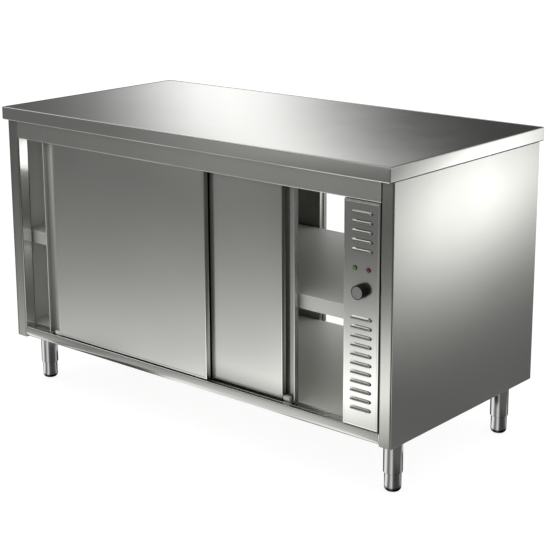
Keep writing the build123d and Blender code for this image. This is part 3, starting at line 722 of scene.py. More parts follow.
def dress(name, shells, body, materials, replaced, material_of=None):
    """One object from closed shells in millimetres, riding on its body. `material_of`
    gives each shell's faces their numbers in `materials`, where there are several."""
    made = bmesh.new()
    for number, (points, faces, painted_light) in enumerate(shells):
        raw = bpy.data.meshes.new("raw")
        raw.from_pydata((points * millimetre).tolist(), [], faces)
        # The attribute holds each point's painted light: highlight above zero, shade below.
        raw.attributes.new("painted_light", "FLOAT", "POINT").data.foreach_set(
            "value", np.asarray(painted_light, np.float32))
        if material_of is not None:
            raw.polygons.foreach_set("material_index",
                                     np.asarray(material_of[number], np.int32))
        start = len(made.verts)
        made.from_mesh(raw)
        made.verts.ensure_lookup_table()
        bmesh.ops.remove_doubles(made, verts=made.verts[start:], dist=seam_gap)
        bpy.data.meshes.remove(raw)
    bmesh.ops.recalc_face_normals(made, faces=made.faces)
    mesh = bpy.data.meshes.new(name)
    made.to_mesh(mesh)
    made.free()
    mesh.shade_smooth()
    mesh.set_sharp_from_angle(angle=math.radians(crisp_angle))
    for material in materials:
        mesh.materials.append(material)
    piece = bpy.data.objects.new(name, mesh)
    bpy.context.scene.collection.objects.link(piece)
    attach(piece, body)
    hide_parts(*replaced)
    print(name, "-", len(shells), "shells,", len(mesh.polygons), "faces on", body)


print("seams closer than", seam_gap, "m are merged")

# %% [markdown]
# ## The worktop
# The top is one sheet folded down all round, with its corners welded and ground, and
# folded in again underneath, where it sits on the frame. It could be a cube with an
# inset bottom. As a pan it has the true sheet thickness, the soft edge that catches
# the light, and return flanges of different widths: wide at the front and back,
# narrow at the ends. Its bends get a faint painted highlight, and its lower edge at
# the ends a painted shade, a dark line.

# %% Fold the worktop
end_flange, long_flange, top_flat = 20.0, 60.0, 9.0
top_bend, top_corner, top_highlight, end_hem_shade = 2.4, 2.6, 0.1, -1.2
half_thick = 0.5 * thick_sheet


def worktop_section(flange):
    """Flange under the edge, skirt and top sheet, as (inset, height above the top)."""
    hem = body_top - height + half_thick
    return folded_section([(flange, hem), (half_thick, hem), (half_thick, -half_thick),
                           (top_flat, -half_thick)], top_bend, thick_sheet)


top = pan(length / 2, depth / 2, worktop_section(end_flange), worktop_section(long_flange),
          top_corner)
# A faint painted highlight on the bends, and a painted shade on the lower edge at the ends.
points, faces, painted_light = placed(top, (0, 0, height), flat_axes, highlighted=top_highlight)
shaded_end_hem = (points[:, 2] < body_top + top_bend) & (np.abs(points[:, 0]) > length / 2 - top_bend)
dress("worktop_sheet", [(points, faces, np.where(shaded_end_hem, end_hem_shade, painted_light))], "cabinet",
      [top_steel], ["worktop"])

# %% [markdown]
# ## Fascias
# The rails between the corner posts are long folded strips, so each is one section
# drawn along X. The fascia hides the door track and ends in a folded hem. The hem's
# round edge and a painted highlight on its bends give its lower edge a bright line
# above a dark one.

# %% Section of a fascia
rail_deep = extent("fascia_front")[1][1] - post_front
hem_in, hem_up, fascia_bends = 4.0, 12.0, (1.8, 1.7, 1.7)
half_plain = 0.5 * plain_sheet
rail_top, rail_foot = body_top - half_plain, fascia_bottom + half_plain
fascia = folded_section([(rail_deep, rail_top), (half_plain, rail_top), (half_plain, rail_foot),
                         (hem_in, rail_foot), (hem_in, fascia_bottom + hem_up)],
                        fascia_bends, plain_sheet)
print("fascia:", rail_deep, "deep and", body_top - fascia_bottom, "tall")

# %% [markdown]
# ## Sills
# The sill is the rail under the doors. Its top carries two folded grooves for their
# guide shoes, and it turns in at its foot with a wide bend. The grooves could be cut
# from a box, but in one section the sheet keeps its thickness all the way. Its face
# gets a painted shade that gives way to a painted highlight on the bend at its foot,
# its folds a painted highlight, and the rest of its top a faint painted shade.

# %% Section of a sill, and both kinds of rails
groove_deep, groove_half, groove_bend = 6.0, 2.1, 0.7
sill_bend, foot_bend, foot_flange = 2.2, 15.0, 20.0
groove_places = [frame_half + middle_of(door + "_door_shoes")[1]
                 for door in ("front_right", "front_left")]
sill_foot_highlight, sill_face_shade, sill_top_shade, foot_zone = 0.8, -0.9, 0.1, np.array((2.0, 20.0))
face_within, below_top, below_groove = 2.0, 2.6, 3.0


def sill_section(top):
    """Top flange with two grooves, face, and a wide bend into the bottom return."""
    flat, foot = top - half_plain, underside + half_plain
    groove_floor = flat - groove_deep
    line = [(rail_deep, flat)]
    for place in groove_places:
        line += [(place + groove_half, flat), (place + groove_half, groove_floor),
                 (place - groove_half, groove_floor), (place - groove_half, flat)]
    line += [(half_plain, flat), (half_plain, foot), (foot_flange, foot)]
    bends = (groove_bend,) * 8 + (sill_bend, foot_bend)
    first, second, fold = folded_section(line, bends, plain_sheet)
    # Painted light on the face and foot: shade above, a highlight at the wide bend; elsewhere the
    # fold value.
    on_face = first[:, 0] < face_within
    low = first[:, 1] < np.where(on_face, top - below_top, groove_floor - below_groove)
    painted_light = np.interp(first[:, 1], underside + foot_zone, (sill_foot_highlight, sill_face_shade))
    return first, second, np.where(low, painted_light, fold)


for name, side in sides.items():
    face, rail_axes = (0, side * frame_half, 0), ((0, -side, 0), (0, 0, 1), (1, 0, 0))
    # The rail's bends get a painted highlight from their fold value.
    rail = placed(drawn(fascia, -post_inner, post_inner), face, rail_axes)
    dress("fascia_rail_" + name, [rail], "cabinet", [rail_steel],
          ["fascia_" + name])
    sill = drawn(sill_section(sill_tops[name]), -post_inner, post_inner)
    dress("sill_rail_" + name, [placed(sill, face, rail_axes, dull=sill_top_shade)], "cabinet",
          [rail_steel], ["sill_" + name])

# %% [markdown]
# ## Corner posts
# The posts are square tube. Their outer ring and inner ring have the same number of
# points, so the walls and both cut ends are bands between two rings. The round
# corners of the tube give the narrow bright and dark lines down each post, with a
# painted shade on them. The side towards the doors gets a painted highlight and a
# smoother finish, so it looks the brightest.

# %% Draw the posts
def tube(half_u, half_v, wall, corner, low, high):
    """Points (u, v, w): outer and inner rounded rectangles at both ends."""
    inset = np.array((0.0, 0.0, wall, wall))
    rings = rounded_ring(half_u - inset, half_v - inset, corner - inset)
    rows, columns = rings.shape[:2]
    on_corner = np.tile(np.r_[0.0, np.ones(columns // 4 - 2), 0.0], 4)
    return (stacked(rings, (low, high, high, low)), layers(rows, columns, open_middle=True),
            np.tile(on_corner, rows))


post_corner, corner_shade, door_side_highlight, hair = 5.0, -0.5, 1.2, 0.1
half_wide, half_deep = (side_inner - post_inner) / 2, (post_back - post_front) / 2
for name, side in sides.items():
    for end_name, end in ends.items():
        post = tube(half_wide, half_deep, thick_sheet, post_corner, underside, body_top)
        centre = (end * (post_inner + half_wide), side * (frame_half - half_deep), 0)
        # Painted shade on the round corners, painted highlight on the side towards the doors.
        points, faces, painted_light = placed(post, centre, flat_axes, highlighted=corner_shade)
        at_doors = np.abs(points[:, 0]) < post_inner + hair
        painted_light = np.where(at_doors, door_side_highlight, painted_light)
        dress(f"corner_post_{name}_{end_name}", [(points, faces, painted_light)], "cabinet",
              [post_steel], [f"post_{name}_{end_name}"])

# %% [markdown]
# ## End panels
# Each end is closed by one plain sheet. It is a thin slab whose four edges are
# rounded over, as deburred sheet is: rings that first move outwards and then back in
# again on the other face. Its inner face has the duller finish of the inside.

# %% Cut the end panels
def slab(half_u, half_v, sheet, corner=0.8, steps=8, near=0.5):
    """Thin plate: insets r(1 - cos a) and heights r sin a round its edge, r = sheet / 2."""
    radius = sheet / 2
    angle = np.linspace(0.5 * np.pi, -0.5 * np.pi, steps + 1)
    inset = np.r_[radius + near, radius - radius * np.cos(angle), radius + near]
    rings = rounded_ring(half_u - inset, half_v - inset, np.maximum(corner - inset, sharpest))
    rows, columns = rings.shape[:2]
    levels = np.r_[radius, radius * np.sin(angle), -radius]
    return (stacked(rings, levels), layers(rows, columns),
            np.repeat(np.r_[0.0, np.ones(len(angle)), 0.0], columns))


panel_height = body_top - underside
for end_name, end in ends.items():
    sheet = slab(frame_half, panel_height / 2, plain_sheet)
    centre = (end * (side_inner + half_plain), 0, underside + panel_height / 2)
    outwards = ((0, end, 0), (0, 0, 1), (end, 0, 0))
    inner_last = [0] * (len(sheet[1]) - 1) + [1]
    # The rounded edges get a painted highlight from their fold value.
    dress("end_panel_" + end_name, [placed(sheet, centre, outwards)], "cabinet",
          [end_steel, inner_steel], ["side_panel_" + end_name], [inner_last])

# %% [markdown]
# ## Sliding doors
# A door is a flat pan, and beside it a full-height finger channel that ends in a
# narrow lip: that channel is the handle. The pan gives the face its soft edges, whose
# bends get a painted highlight. The channel is a folded section drawn upwards, with a
# painted shade that grows towards its foot, and its lip gets a painted highlight above
# and painted shade at its foot. A deep fold that mirrors only itself would turn black,
# so on the outer doors, which are wiped more often, the channel has a softer finish of
# its own, and the inner doors get a painted shade towards their feet. Each door has its
# own place, row and handle side, but one shape. The handle is at the end to which its
# number points along X.

# %% Section of a door
handle_side = {"front_left": -1, "front_right": 1, "back_left": -1, "back_right": 1}
door_low, door_high = extent("front_left_door_skin")
door_wide, door_deep, _ = door_high - door_low
channel_wide, lip_wide, channel_bend = 42.0, 4.0, 1.4
door_flat, door_bend, door_corner, edge_gap = 7.0, 1.6, 1.5, 0.1
half_thin = 0.5 * thin_sheet
pan_wide = door_wide - channel_wide
channel_floor, far_wall = door_deep - half_thin, door_wide - half_thin
door_fold = folded_section([(half_thin, -door_deep + edge_gap), (half_thin, -half_thin),
                            (door_flat, -half_thin)], door_bend, thin_sheet)
channel = folded_section([(pan_wide - half_thin, channel_floor), (far_wall, channel_floor),
                          (far_wall, half_thin), (door_wide - lip_wide, half_thin)],
                         channel_bend, thin_sheet)
print("door:", door_wide, "wide, its channel", channel_wide, "wide and", door_deep, "deep")

# %% Fold the doors
lip_light_and_shade, channel_shade = (-0.5, 1.3), (-0.95, -0.05)
round_lip, lip_front, outer_row = 2.0, 2.5, 10.0
for name, handle in handle_side.items():
    side = sides[name.split("_")[0]]
    low, high = extent(name + "_door_skin")
    face_y = side * max(side * low[1], side * high[1])
    origin = np.array((low[0] if handle > 0 else high[0], face_y, low[2]))
    tall = high[2] - low[2]
    face = placed(pan(pan_wide / 2, tall / 2, door_fold, corner=door_corner),
                  origin + (handle * pan_wide / 2, 0, tall / 2),
                  ((handle, 0, 0), (0, 0, 1), (0, side, 0)))
    points, faces, _ = drawn(channel, 0, tall)
    # Painted light on the channel: shade growing towards its foot, and on the lip a highlight
    # above and shade below.
    on_lip = (points[:, 0] > door_wide - lip_wide - round_lip) & (points[:, 1] < lip_front)
    painted_light = np.where(on_lip, np.interp(points[:, 2], (0, tall), lip_light_and_shade),
                    np.interp(points[:, 2], (0, tall), channel_shade))
    grip = placed((points, faces, painted_light), origin, ((handle, 0, 0), (0, -side, 0), (0, 0, 1)))
    outer = frame_half - abs(face_y) < outer_row
    steels = [door_steel, channel_steel] if outer else [foot_shaded_steel]
    material_of = [[0] * len(face[1]), [int(outer)] * len(grip[1])]
    dress(name + "_door_sheet", [face, grip], name + "_door", steels,
          [name + "_door_skin"], material_of)

# %% [markdown]
# ## The shelf
# Halfway up lies a shelf with a deep fold on every edge, which keeps it stiff under
# stacks of plates. It is the same pan again, with a slightly wider bend, and the lower
# part of its folded edges gets a painted shade, darker than its top. Inside the cabinet
# the sheet isn't polished again after folding.

# %% Fold the shelf
shelf_low, shelf_high = extent("shelf")
shelf_long, shelf_deep, shelf_drop = shelf_high - shelf_low
shelf_middle = (shelf_low[0] + shelf_high[0]) / 2
shelf_bend, shelf_corner, shelf_flat = 1.9, 2.2, 8.0
shelf_fold_shade, shade_below = -0.6, -1.5
first, second, _ = folded_section([(half_plain, -shelf_drop), (half_plain, -half_plain),
                                   (shelf_flat, -half_plain)], shelf_bend, plain_sheet)
# Painted shade on the lower part of the folded edges.
shelf_fold = (first, second, np.where(first[:, 1] < shade_below, shelf_fold_shade, 0.0))
shelf = pan(shelf_long / 2, shelf_deep / 2, shelf_fold, corner=shelf_corner)
dress("shelf_sheet", [placed(shelf, (shelf_middle, 0, shelf_high[2]), flat_axes)], "cabinet",
      [inner_steel], ["shelf"])

# %% [markdown]
# ## The louvred control panel
# Air for the fan enters through pressed louvres. The press cuts a slot and pushes
# the sheet above it out into a small hood. So the panel is a plate with windows, a
# folded rim round it, and a hood over each window. Booleans would cut the windows
# too, but leave long thin faces. So the plate is a grid of unequal cells, and the
# window cells are left out of it.

# %% Plate with windows
def window_plate(columns, rows, sheet, is_open):
    """Front and back faces of all closed cells, with a wall wherever one meets an
    open cell or the outside. is_open(x, z) tells the open cells by their middles."""
    columns, rows = np.asarray(columns, float), np.asarray(rows, float)
    solid = ~is_open(0.5 * (columns[:-1] + columns[1:])[:, None],
                     0.5 * (rows[:-1] + rows[1:])[None, :])
    count = len(rows)
    x, z = np.meshgrid(columns, rows, indexing="ij")
    layer = np.stack((x.ravel(), z.ravel()), axis=1)
    points = np.concatenate([np.column_stack((layer, np.full(len(layer), w)))
                             for w in (0.0, -sheet)])
    back = len(layer)
    i, j = np.nonzero(solid)
    here = i * count + j
    front = np.stack((here, here + count, here + count + 1, here + 1), axis=1)
    padded = np.pad(solid, 1)
    walls = []
    for di, dj, a, b in ((-1, 0, here, here + 1), (1, 0, here + count + 1, here + count),
                         (0, -1, here + count, here), (0, 1, here + 1, here + count + 1)):
        bare = ~padded[i + 1 + di, j + 1 + dj]
        walls.append(np.stack((a[bare], b[bare], b[bare] + back, a[bare] + back), axis=1))
    faces = np.concatenate([front, front[:, ::-1] + back] + walls)
    return points, faces.tolist(), np.zeros(len(points))


print("a plate's windows are cells left out of a grid")

# %% Cut the plate
(panel_left, hood_front, panel_low), (panel_right, _, panel_high) = extent("control_panel")
controls_x, _, knob_z = middle_of("thermostat_knob")
louvre_half, louvre_tall, louvre_pitch, louvre_lap = 31.0, 8.0, 23.3, 1.2
louvre_deep = post_front - hood_front
below_fascia, below_knob, rim_wide = 26.0, 64.0, 6.0
upper_count, lower_count = 5, 11
upper = fascia_bottom - below_fascia - louvre_pitch * np.arange(upper_count)
lower = knob_z - below_knob - louvre_pitch * np.arange(lower_count)
louvre_tops = np.concatenate((upper, lower))
window_half, window_tall = louvre_half - louvre_lap, louvre_tall - louvre_lap
window_middle = (louvre_tall + louvre_lap) / 2


def in_window(x, z):
    """True where (x, z) lies within a window below one of the louvre tops."""
    beside = np.abs(x - controls_x)
    above = np.abs(z - louvre_tops[:, None, None] + window_middle).min(axis=0)
    return (beside < window_half) & (above < window_tall / 2)


cuts = np.sort(np.concatenate((louvre_tops - louvre_tall, louvre_tops - louvre_lap)))
plate = window_plate([panel_left + rim_wide, controls_x - window_half, controls_x + window_half,
                      panel_right - rim_wide],
                     np.r_[panel_low + rim_wide, cuts, panel_high - rim_wide], plain_sheet,
                     in_window)
print("plate:", len(plate[1]), "faces,", len(louvre_tops), "windows")

# %% [markdown]
# ## The hoods
# A hood is deepest along its middle and comes down to the plate at both ends. Its
# section is that of a bent strip, and a swell scales it: a high power keeps the
# swell at 1 nearly all the way, so that the ends are short and round. Near its ends
# it gets a painted shade.

# %% Press the hoods
bend_out, bend_up, hood_bend, overrun, hood_inset = 4.2, 4.3, 1.0, 0.3, 0.05
hood_line = folded_section([(0.0, louvre_tall + overrun), (bend_out, bend_up),
                            (louvre_deep - hood_inset, -overrun)], hood_bend, thin_sheet)
swell_power, hood_end, hood_end_shade = 24, (0.95, 0.985), (0.0, -1.6)


def hood(top, across=28):
    """Pressed louvre over (a, i): point i of the section (out, rise) is scaled by the
    swell e(a) = (1 - |a|^power)^(1/2), which is 1 along the hood and 0 at its ends."""
    a = np.sin(np.linspace(-0.5, 0.5, across + 1) * np.pi)[:, None]
    swell = np.sqrt(np.clip(1.0 - np.abs(a) ** swell_power, 0.0, 1.0))
    ring = np.clip(np.concatenate((hood_line[0], hood_line[1][::-1])), 0.0,
                   (louvre_deep, louvre_tall))
    level = 0.0 * ring[:, 0]
    grid = np.stack((controls_x + louvre_half * a + level,
                     top - louvre_tall + swell * ring[:, 1], swell * ring[:, 0]), axis=-1)
    # Painted shade towards both ends of the hood.
    painted_light = np.interp(np.abs(a), hood_end, hood_end_shade) + level
    return (grid.reshape(-1, 3), squares(across + 1, len(ring), close_columns=True).tolist(),
            painted_light.ravel())


print("hood:", len(hood(0.0)[1]), "faces,", louvre_deep, "deep")

# %% [markdown]
# ## The covers of the compartment
# The control panel and the back cover close the fan's compartment, one on each side.
# Both have the same folded rim, with a deeper lap on the side towards the doors. The
# rim of the control panel is open in its middle, where its plate and hoods are.

# %% Fold the covers
cover_drop, cover_bend, cover_corner = 22.0, 1.4, 1.6
lap_half, lap_middle = 7.0, -27.5
cover_fold = folded_section([(half_plain, -cover_drop), (half_plain, -half_plain),
                             (rim_wide, -half_plain)], cover_bend, plain_sheet)


def cover_rim(low, high, axes, face, open_middle):
    """Folded rim of a compartment cover, and the deeper lap on its opening side."""
    half_wide, half_tall = (panel_right - panel_left) / 2, (high - low) / 2
    middle = np.array((panel_left + half_wide, low + half_tall, 0.0))
    points, faces, fold = pan(half_wide, half_tall, cover_fold, corner=cover_corner,
                              open_middle=open_middle)
    lap, lap_faces, lap_fold = slab(lap_half, half_tall, plain_sheet)
    lap = np.column_stack((panel_left + half_plain + lap[:, 2], middle[1] + lap[:, 1],
                           lap_middle + lap[:, 0]))
    # The rim's bends and the lap's edges get a painted highlight from their fold value.
    return [placed((points + middle, faces, fold), face, axes),
            placed((lap, lap_faces, lap_fold), face, axes)]


forward, front_face = ((1, 0, 0), (0, 0, 1), (0, -1, 0)), (0, -frame_half, 0)
backward, back_face = ((1, 0, 0), (0, 0, 1), (0, 1, 0)), (0, frame_half, 0)
shells = cover_rim(panel_low, panel_high, forward, front_face, open_middle=True)
shells += [placed(shell, front_face, forward) for shell in (plate, *map(hood, louvre_tops))]
dress("control_panel_sheet", shells, "cabinet", [panel_steel], ["control_panel"])
back_low = extent("back_cover")[0][2]
shells = cover_rim(back_low, panel_high, backward, back_face, open_middle=False)
dress("back_cover_sheet", shells, "cabinet", [panel_steel], ["back_cover"])

# %% [markdown]
# ## Turned parts
# The knob, the pilot lamps, the legs and the feet are round. A Screw modifier could
# spin their outline, but a grid of outline points times angles is the same thing
# written out: every point is (r cos t, r sin t, h). Outlines that start and end on
# the axis close by themselves when the doubled points there are merged.

# %% Turn an outline round an axis
no_thickness = 1e-6


def outline(corners, rounds):
    """Open outline (radius, height) with its inner corners rounded, and its fold value."""
    first, second, fold = folded_section(corners, rounds, no_thickness)
    return 0.5 * (first + second), fold


def turned(corners, rounds, columns=72):
    """Points (r cos t, r sin t, h) for the outline's points (r, h) and angles t."""
    line, fold = outline(corners, rounds)
    r, h = line[:, :1], line[:, 1:]
    t = np.linspace(0.0, 2.0 * np.pi, columns, endpoint=False)
    points = np.stack((r * np.cos(t), r * np.sin(t), np.repeat(h, columns, axis=1)), -1)
    return (points.reshape(-1, 3), squares(len(line), columns, close_columns=True).tolist(),
            np.repeat(fold, columns))


print("turned: outline of", len(outline([(0, 0), (9, 0), (9, 5), (0, 5)], [1, 1])[0]), "points")

# %% [markdown]
# ## Polished steel
# The legs and feet are turned and polished. Bright metal wants low roughness, and
# fine rings left by the lathe: noise squeezed along the height, almost too faint to
# see, with a few cloudy smears where hands and mops have been.

# %% Polished steel
lathe_rings, smears, smear_size = (2, 2, 1400), (1, 1, 0.4), 22.0
smear_share, smear_swing, ring_bump, ring_depth = 0.94, 0.08, 0.05, 0.0003


def polished(name, shade, roughness):
    """Bright metal with lathe rings along Z."""
    material, tree, shader, place = surface(name)
    shader.inputs["Metallic"].default_value = 1.0
    rings = noise(tree, place, 1.0, lathe_rings)
    smear = noise(tree, place, smear_size, smears, 3.0)
    tree.links.new(mixed(tree, smear, scaled(shade, smear_share), shade),
                   shader.inputs["Base Color"])
    tree.links.new(uneven(tree, roughness, smear_swing, smear), shader.inputs["Roughness"])
    bumped(tree, shader, rings, ring_bump, ring_depth)
    return material


foot_steel = polished("foot_steel", (0.57, 0.57, 0.56), 0.12)
print("polished steel for legs and feet")

# %% [markdown]
# ## Thread
# The foot's threaded stem is a wave along the height: its radius swings by about half
# a millimetre at every turn, and the wave climbs with the angle. A thread profile
# carried along a helix would be finer, but needs many more faces, and the stem hides
# in its tube.

# %% Cut a threaded stem
thread_pitch, thread_deep = 1.75, 0.55


def threaded_stem(radius, low, high, columns=40, per_turn=8):
    """Screw: r = radius - deep * (1 + cos(2 pi (h / pitch) - t)) / 2, closed by flat ends."""
    rows = int((high - low) / thread_pitch * per_turn)
    h = np.linspace(low, high, rows)[:, None]
    t = np.linspace(0.0, 2.0 * np.pi, columns, endpoint=False)[None, :]
    r = radius - 0.5 * thread_deep * (1.0 + np.cos(2.0 * np.pi * h / thread_pitch - t))
    body = np.stack((r * np.cos(t), r * np.sin(t), h + 0.0 * t), axis=-1)
    tips = np.broadcast_to(np.array(((0.0, 0.0, low), (0.0, 0.0, high)))[:, None], (2, columns, 3))
    points = np.concatenate((tips[:1], body, tips[1:]))
    return (points.reshape(-1, 3), squares(rows + 2, columns, close_columns=True).tolist(),
            np.zeros((rows + 2) * columns))


print("thread:", thread_pitch, "mm pitch,", thread_deep, "mm deep")

# %% [markdown]
# ## Legs and levelling feet
# A fixed tube comes down from a plate under the floor. Inside it a welded nut takes
# the threaded stem of the foot, so that turning the foot raises the corner. Tube,
# nut and foot are turned from one outline each, and the plate is a slab. All four
# corners are alike, so they are measured at one of them.

# %% Turn the legs and feet
tube_low, tube_high = extent("foot_sleeve_front_right")
foot_low, foot_high = extent("foot_adjuster_front_right")
tube_foot, tube_top, stem_top = tube_low[2], tube_high[2], foot_high[2]
plate_half, plate_sheet, plate_corner = (tube_high[0] - tube_low[0]) / 2, 3.0, 4.0
foot_radius, foot_tall = (foot_high[0] - foot_low[0]) / 2, 90.0
foot_round, foot_rim = 11.0, 1.2
tube_radius, tube_bore, seam, tube_edge, tube_foot_edge = 25.0, 22.7, 60.0, 0.3, (0.6, 1.9)
stem_radius, stem_sunk, thread_play = 6.0, 0.5, 0.05
nut_low, nut_high, nut_edge = 118.0, 130.0, 0.5
nut_bore, nut_middle = stem_radius + thread_play, (nut_low + nut_high) / 2

leg_wall = turned([(tube_bore, seam), (tube_bore, tube_foot), (tube_radius, tube_foot),
                   (tube_radius, tube_top), (tube_bore, tube_top), (tube_bore, seam)],
                  (*tube_foot_edge, tube_edge, tube_edge))
leg_nut = turned([(nut_bore, nut_middle), (nut_bore, nut_low), (tube_bore, nut_low),
                  (tube_bore, nut_high), (nut_bore, nut_high), (nut_bore, nut_middle)],
                 nut_edge, columns=48)
leg_plate = slab(plate_half, plate_half, plate_sheet, plate_corner)
foot_body = turned([(0, 0), (foot_radius, 0), (foot_radius, foot_tall), (0, foot_tall)],
                   (foot_round, foot_rim))
stem = threaded_stem(stem_radius, foot_tall - stem_sunk, stem_top)
for name in sides:
    for end_name in ends:
        corner_name = f"{name}_{end_name}"
        spot = middle_of("foot_adjuster_" + corner_name) * (1, 1, 0)
        plate_spot = spot + (0, 0, tube_top - plate_sheet / 2)
        dress("leg_tube_" + corner_name,
              [placed(leg_wall, spot, flat_axes), placed(leg_nut, spot, flat_axes),
               placed(leg_plate, plate_spot, flat_axes)], "cabinet",
              [foot_steel], ["foot_sleeve_" + corner_name])
        dress("levelling_foot_" + corner_name,
              [placed(foot_body, spot, flat_axes), placed(stem, spot, flat_axes)],
              "foot_adjuster_" + corner_name, [foot_steel],
              ["foot_adjuster_" + corner_name])

# %% [markdown]
# ## Plastics
# Moulded plastic is smooth but never perfect: a fine sparkle from the tool's texture
# and a slightly uneven gloss. Where a piece's attribute of painted light is above zero,
# on the knob's rims, the edges get a painted highlight. One function covers the
# black, the grey and the natural nylon.

# %% Plastics
tool_texture, texture_bump, texture_depth = 0.12, 0.15, 0.0002
cloud_scale, cloud_share = 30.0, 0.9
plastic_edge_highlight, paler_factor, paler_step = 0.6, 1.25, 0.01
black_sheen = 0.2


def moulded(name, shade, roughness, texture):
    """Plastic with a fine tool texture; `texture` is grains per metre."""
    material, tree, shader, place = surface(name)
    grain = noise(tree, place, texture)
    cloud = noise(tree, place, cloud_scale)
    painted_light = wire(tree, "Attribute", attribute_name="painted_light").outputs["Fac"]
    paler = [value * paler_factor + paler_step for value in shade]
    tone = mixed(tree, cloud, scaled(shade, cloud_share), shade)
    # Painted highlight: edges paler where the attribute is above zero.
    tone = mixed(tree, product(tree, painted_light, plastic_edge_highlight), tone, paler)
    tree.links.new(tone, shader.inputs["Base Color"])
    tree.links.new(uneven(tree, roughness, tool_texture, grain), shader.inputs["Roughness"])
    bumped(tree, shader, grain, texture_bump, texture_depth)
    return material


black_plastic = moulded("black_plastic", (0.005, 0.005, 0.005), 0.34, 2600.0)
black_shader = black_plastic.node_tree.nodes["Principled BSDF"]
black_shader.inputs["Specular IOR Level"].default_value = black_sheen
grey_plastic = moulded("grey_plastic", (0.36, 0.37, 0.37), 0.45, 1800.0)
nylon = moulded("nylon", (0.62, 0.62, 0.58), 0.42, 1200.0)
print("plastics: black, grey, nylon")

# %% [markdown]
# ## Lamp lenses
# A pilot lamp's lens is deeply tinted and faceted behind, so that it looks dark at
# its rim and brighter in its middle, where the light leaves. Real glass with a bulb
# behind it would need many samples. Here that light is painted: the colour follows the
# distance from the lamp's axis, from a painted glow in the middle to painted shade at
# the rim, Voronoi cells give the facets, and a thin clear coat the gloss.

# %% Tinted lenses
lit_middle_to, shaded_rim_from = 0.0040, 0.0056
facet_size, facet_bump, facet_depth = 900.0, 0.25, 0.0004
lens_grain, lens_roughness, lens_swing = 300.0, 0.18, 0.08
coat, coat_roughness = 0.25, 0.08


def lens(name, rim, dome, centre_x, centre_z):
    """Tinted lens round the axis at `centre_x` and `centre_z`, which are millimetres."""
    material, tree, shader, place = surface(name)
    x, y, z = wire(tree, "SeparateXYZ", place).outputs
    across = calc(tree, "SUBTRACT", x, centre_x * millimetre)
    rise = calc(tree, "SUBTRACT", z, centre_z * millimetre)
    away = calc(tree, "SQRT", calc(tree, "ADD", product(tree, across, across),
                                   product(tree, rise, rise)))
    # Painted glow in the middle, painted shade towards the rim.
    tone = mixed(tree, ease(tree, away, lit_middle_to, shaded_rim_from), dome, rim)
    tree.links.new(tone, shader.inputs["Base Color"])
    facets = wire(tree, "TexVoronoi", place)
    facets.inputs["Scale"].default_value = facet_size
    bumped(tree, shader, facets.outputs["Distance"], facet_bump, facet_depth)
    tree.links.new(uneven(tree, lens_roughness, lens_swing, noise(tree, place, lens_grain)),
                   shader.inputs["Roughness"])
    shader.inputs["Coat Weight"].default_value = coat
    shader.inputs["Coat Roughness"].default_value = coat_roughness
    return material


print("lens: dark from", shaded_rim_from, "m to its rim")

# %% [markdown]
# ## The knob
# The thermostat knob is a black drum with a thin satin disc let into its face. It is
# turned about an axis that points to the front. The knob is bored for its spindle,
# so its outline starts at the end of the bore, and one more row of points, all on
# the axis, closes the bore.

# %% Turn the knob
knob_low, knob_high = extent("thermostat_knob")
knob_radius, knob_deep = (knob_high[0] - knob_low[0]) / 2, knob_high[1] - knob_low[1]
bore_radius, bore_deep, knob_taper, around = 3.0, 11.0, 0.8, 96
well_radius, well_deep, disc_radius, disc_sunk, disc_proud = 15.6, 0.8, 15.4, 0.1, 0.55
well_floor = knob_deep - well_deep
drum_rounds, disc_rounds = (0.2, 0.8, 1.3, 0.3, 0.2), (0.1, 0.25)
disc_back, disc_front = well_floor - disc_sunk, well_floor + disc_proud
drum, drum_faces, drum_fold = turned(
    [(bore_radius, bore_deep), (bore_radius, 0.0), (knob_radius, 0.0),
     (knob_radius - knob_taper, knob_deep), (well_radius, knob_deep), (well_radius, well_floor),
     (0.0, well_floor)], drum_rounds, around)
drum = np.concatenate((np.tile((0.0, 0.0, bore_deep), (around, 1)), drum))
drum_faces = squares(len(drum) // around, around, close_columns=True).tolist()
drum_fold = np.concatenate((np.zeros(around), drum_fold))
disc_face = turned([(0.0, disc_back), (disc_radius, disc_back), (disc_radius, disc_front),
                    (0.0, disc_front)], disc_rounds, around)
knob_at = (controls_x, knob_high[1], knob_z)
disc_steel = polished("knob_disc_steel", (0.30, 0.30, 0.29), 0.36)
dress("thermostat_knob_turned", [placed((drum, drum_faces, drum_fold), knob_at, forward),
                                 placed(disc_face, knob_at, forward)],
      "knob", [black_plastic, disc_steel], ["thermostat_knob"],
      [[0] * len(drum_faces), [1] * len(disc_face[1])])

# %% [markdown]
# ## The pilot lamps
# Two lamps sit above the knob: one shows that the cabinet has current, the other that
# it is heating. Each has a stem through the panel, a rim that holds it there and a
# low dome.

# %% Turn the lamps
stem_half, stem_deep = 5.0, 24.0
dome_foot, dome_edge, dome_front = 5.75, (5.3, 3.0), 3.5
lamp_rounds = (0.4, 0.1, 0.2, 0.5, 0.1, 1.4)
lamp_low, lamp_high = extent("pilot_lamp_red")
rim_radius, rim_front = (lamp_high[0] - lamp_low[0]) / 2, 1.5
lamp = turned([(0, -stem_deep), (stem_half, -stem_deep), (stem_half, 0), (rim_radius, 0),
               (rim_radius, rim_front), (dome_foot, rim_front), dome_edge, (0, dome_front)],
              lamp_rounds, columns=64)
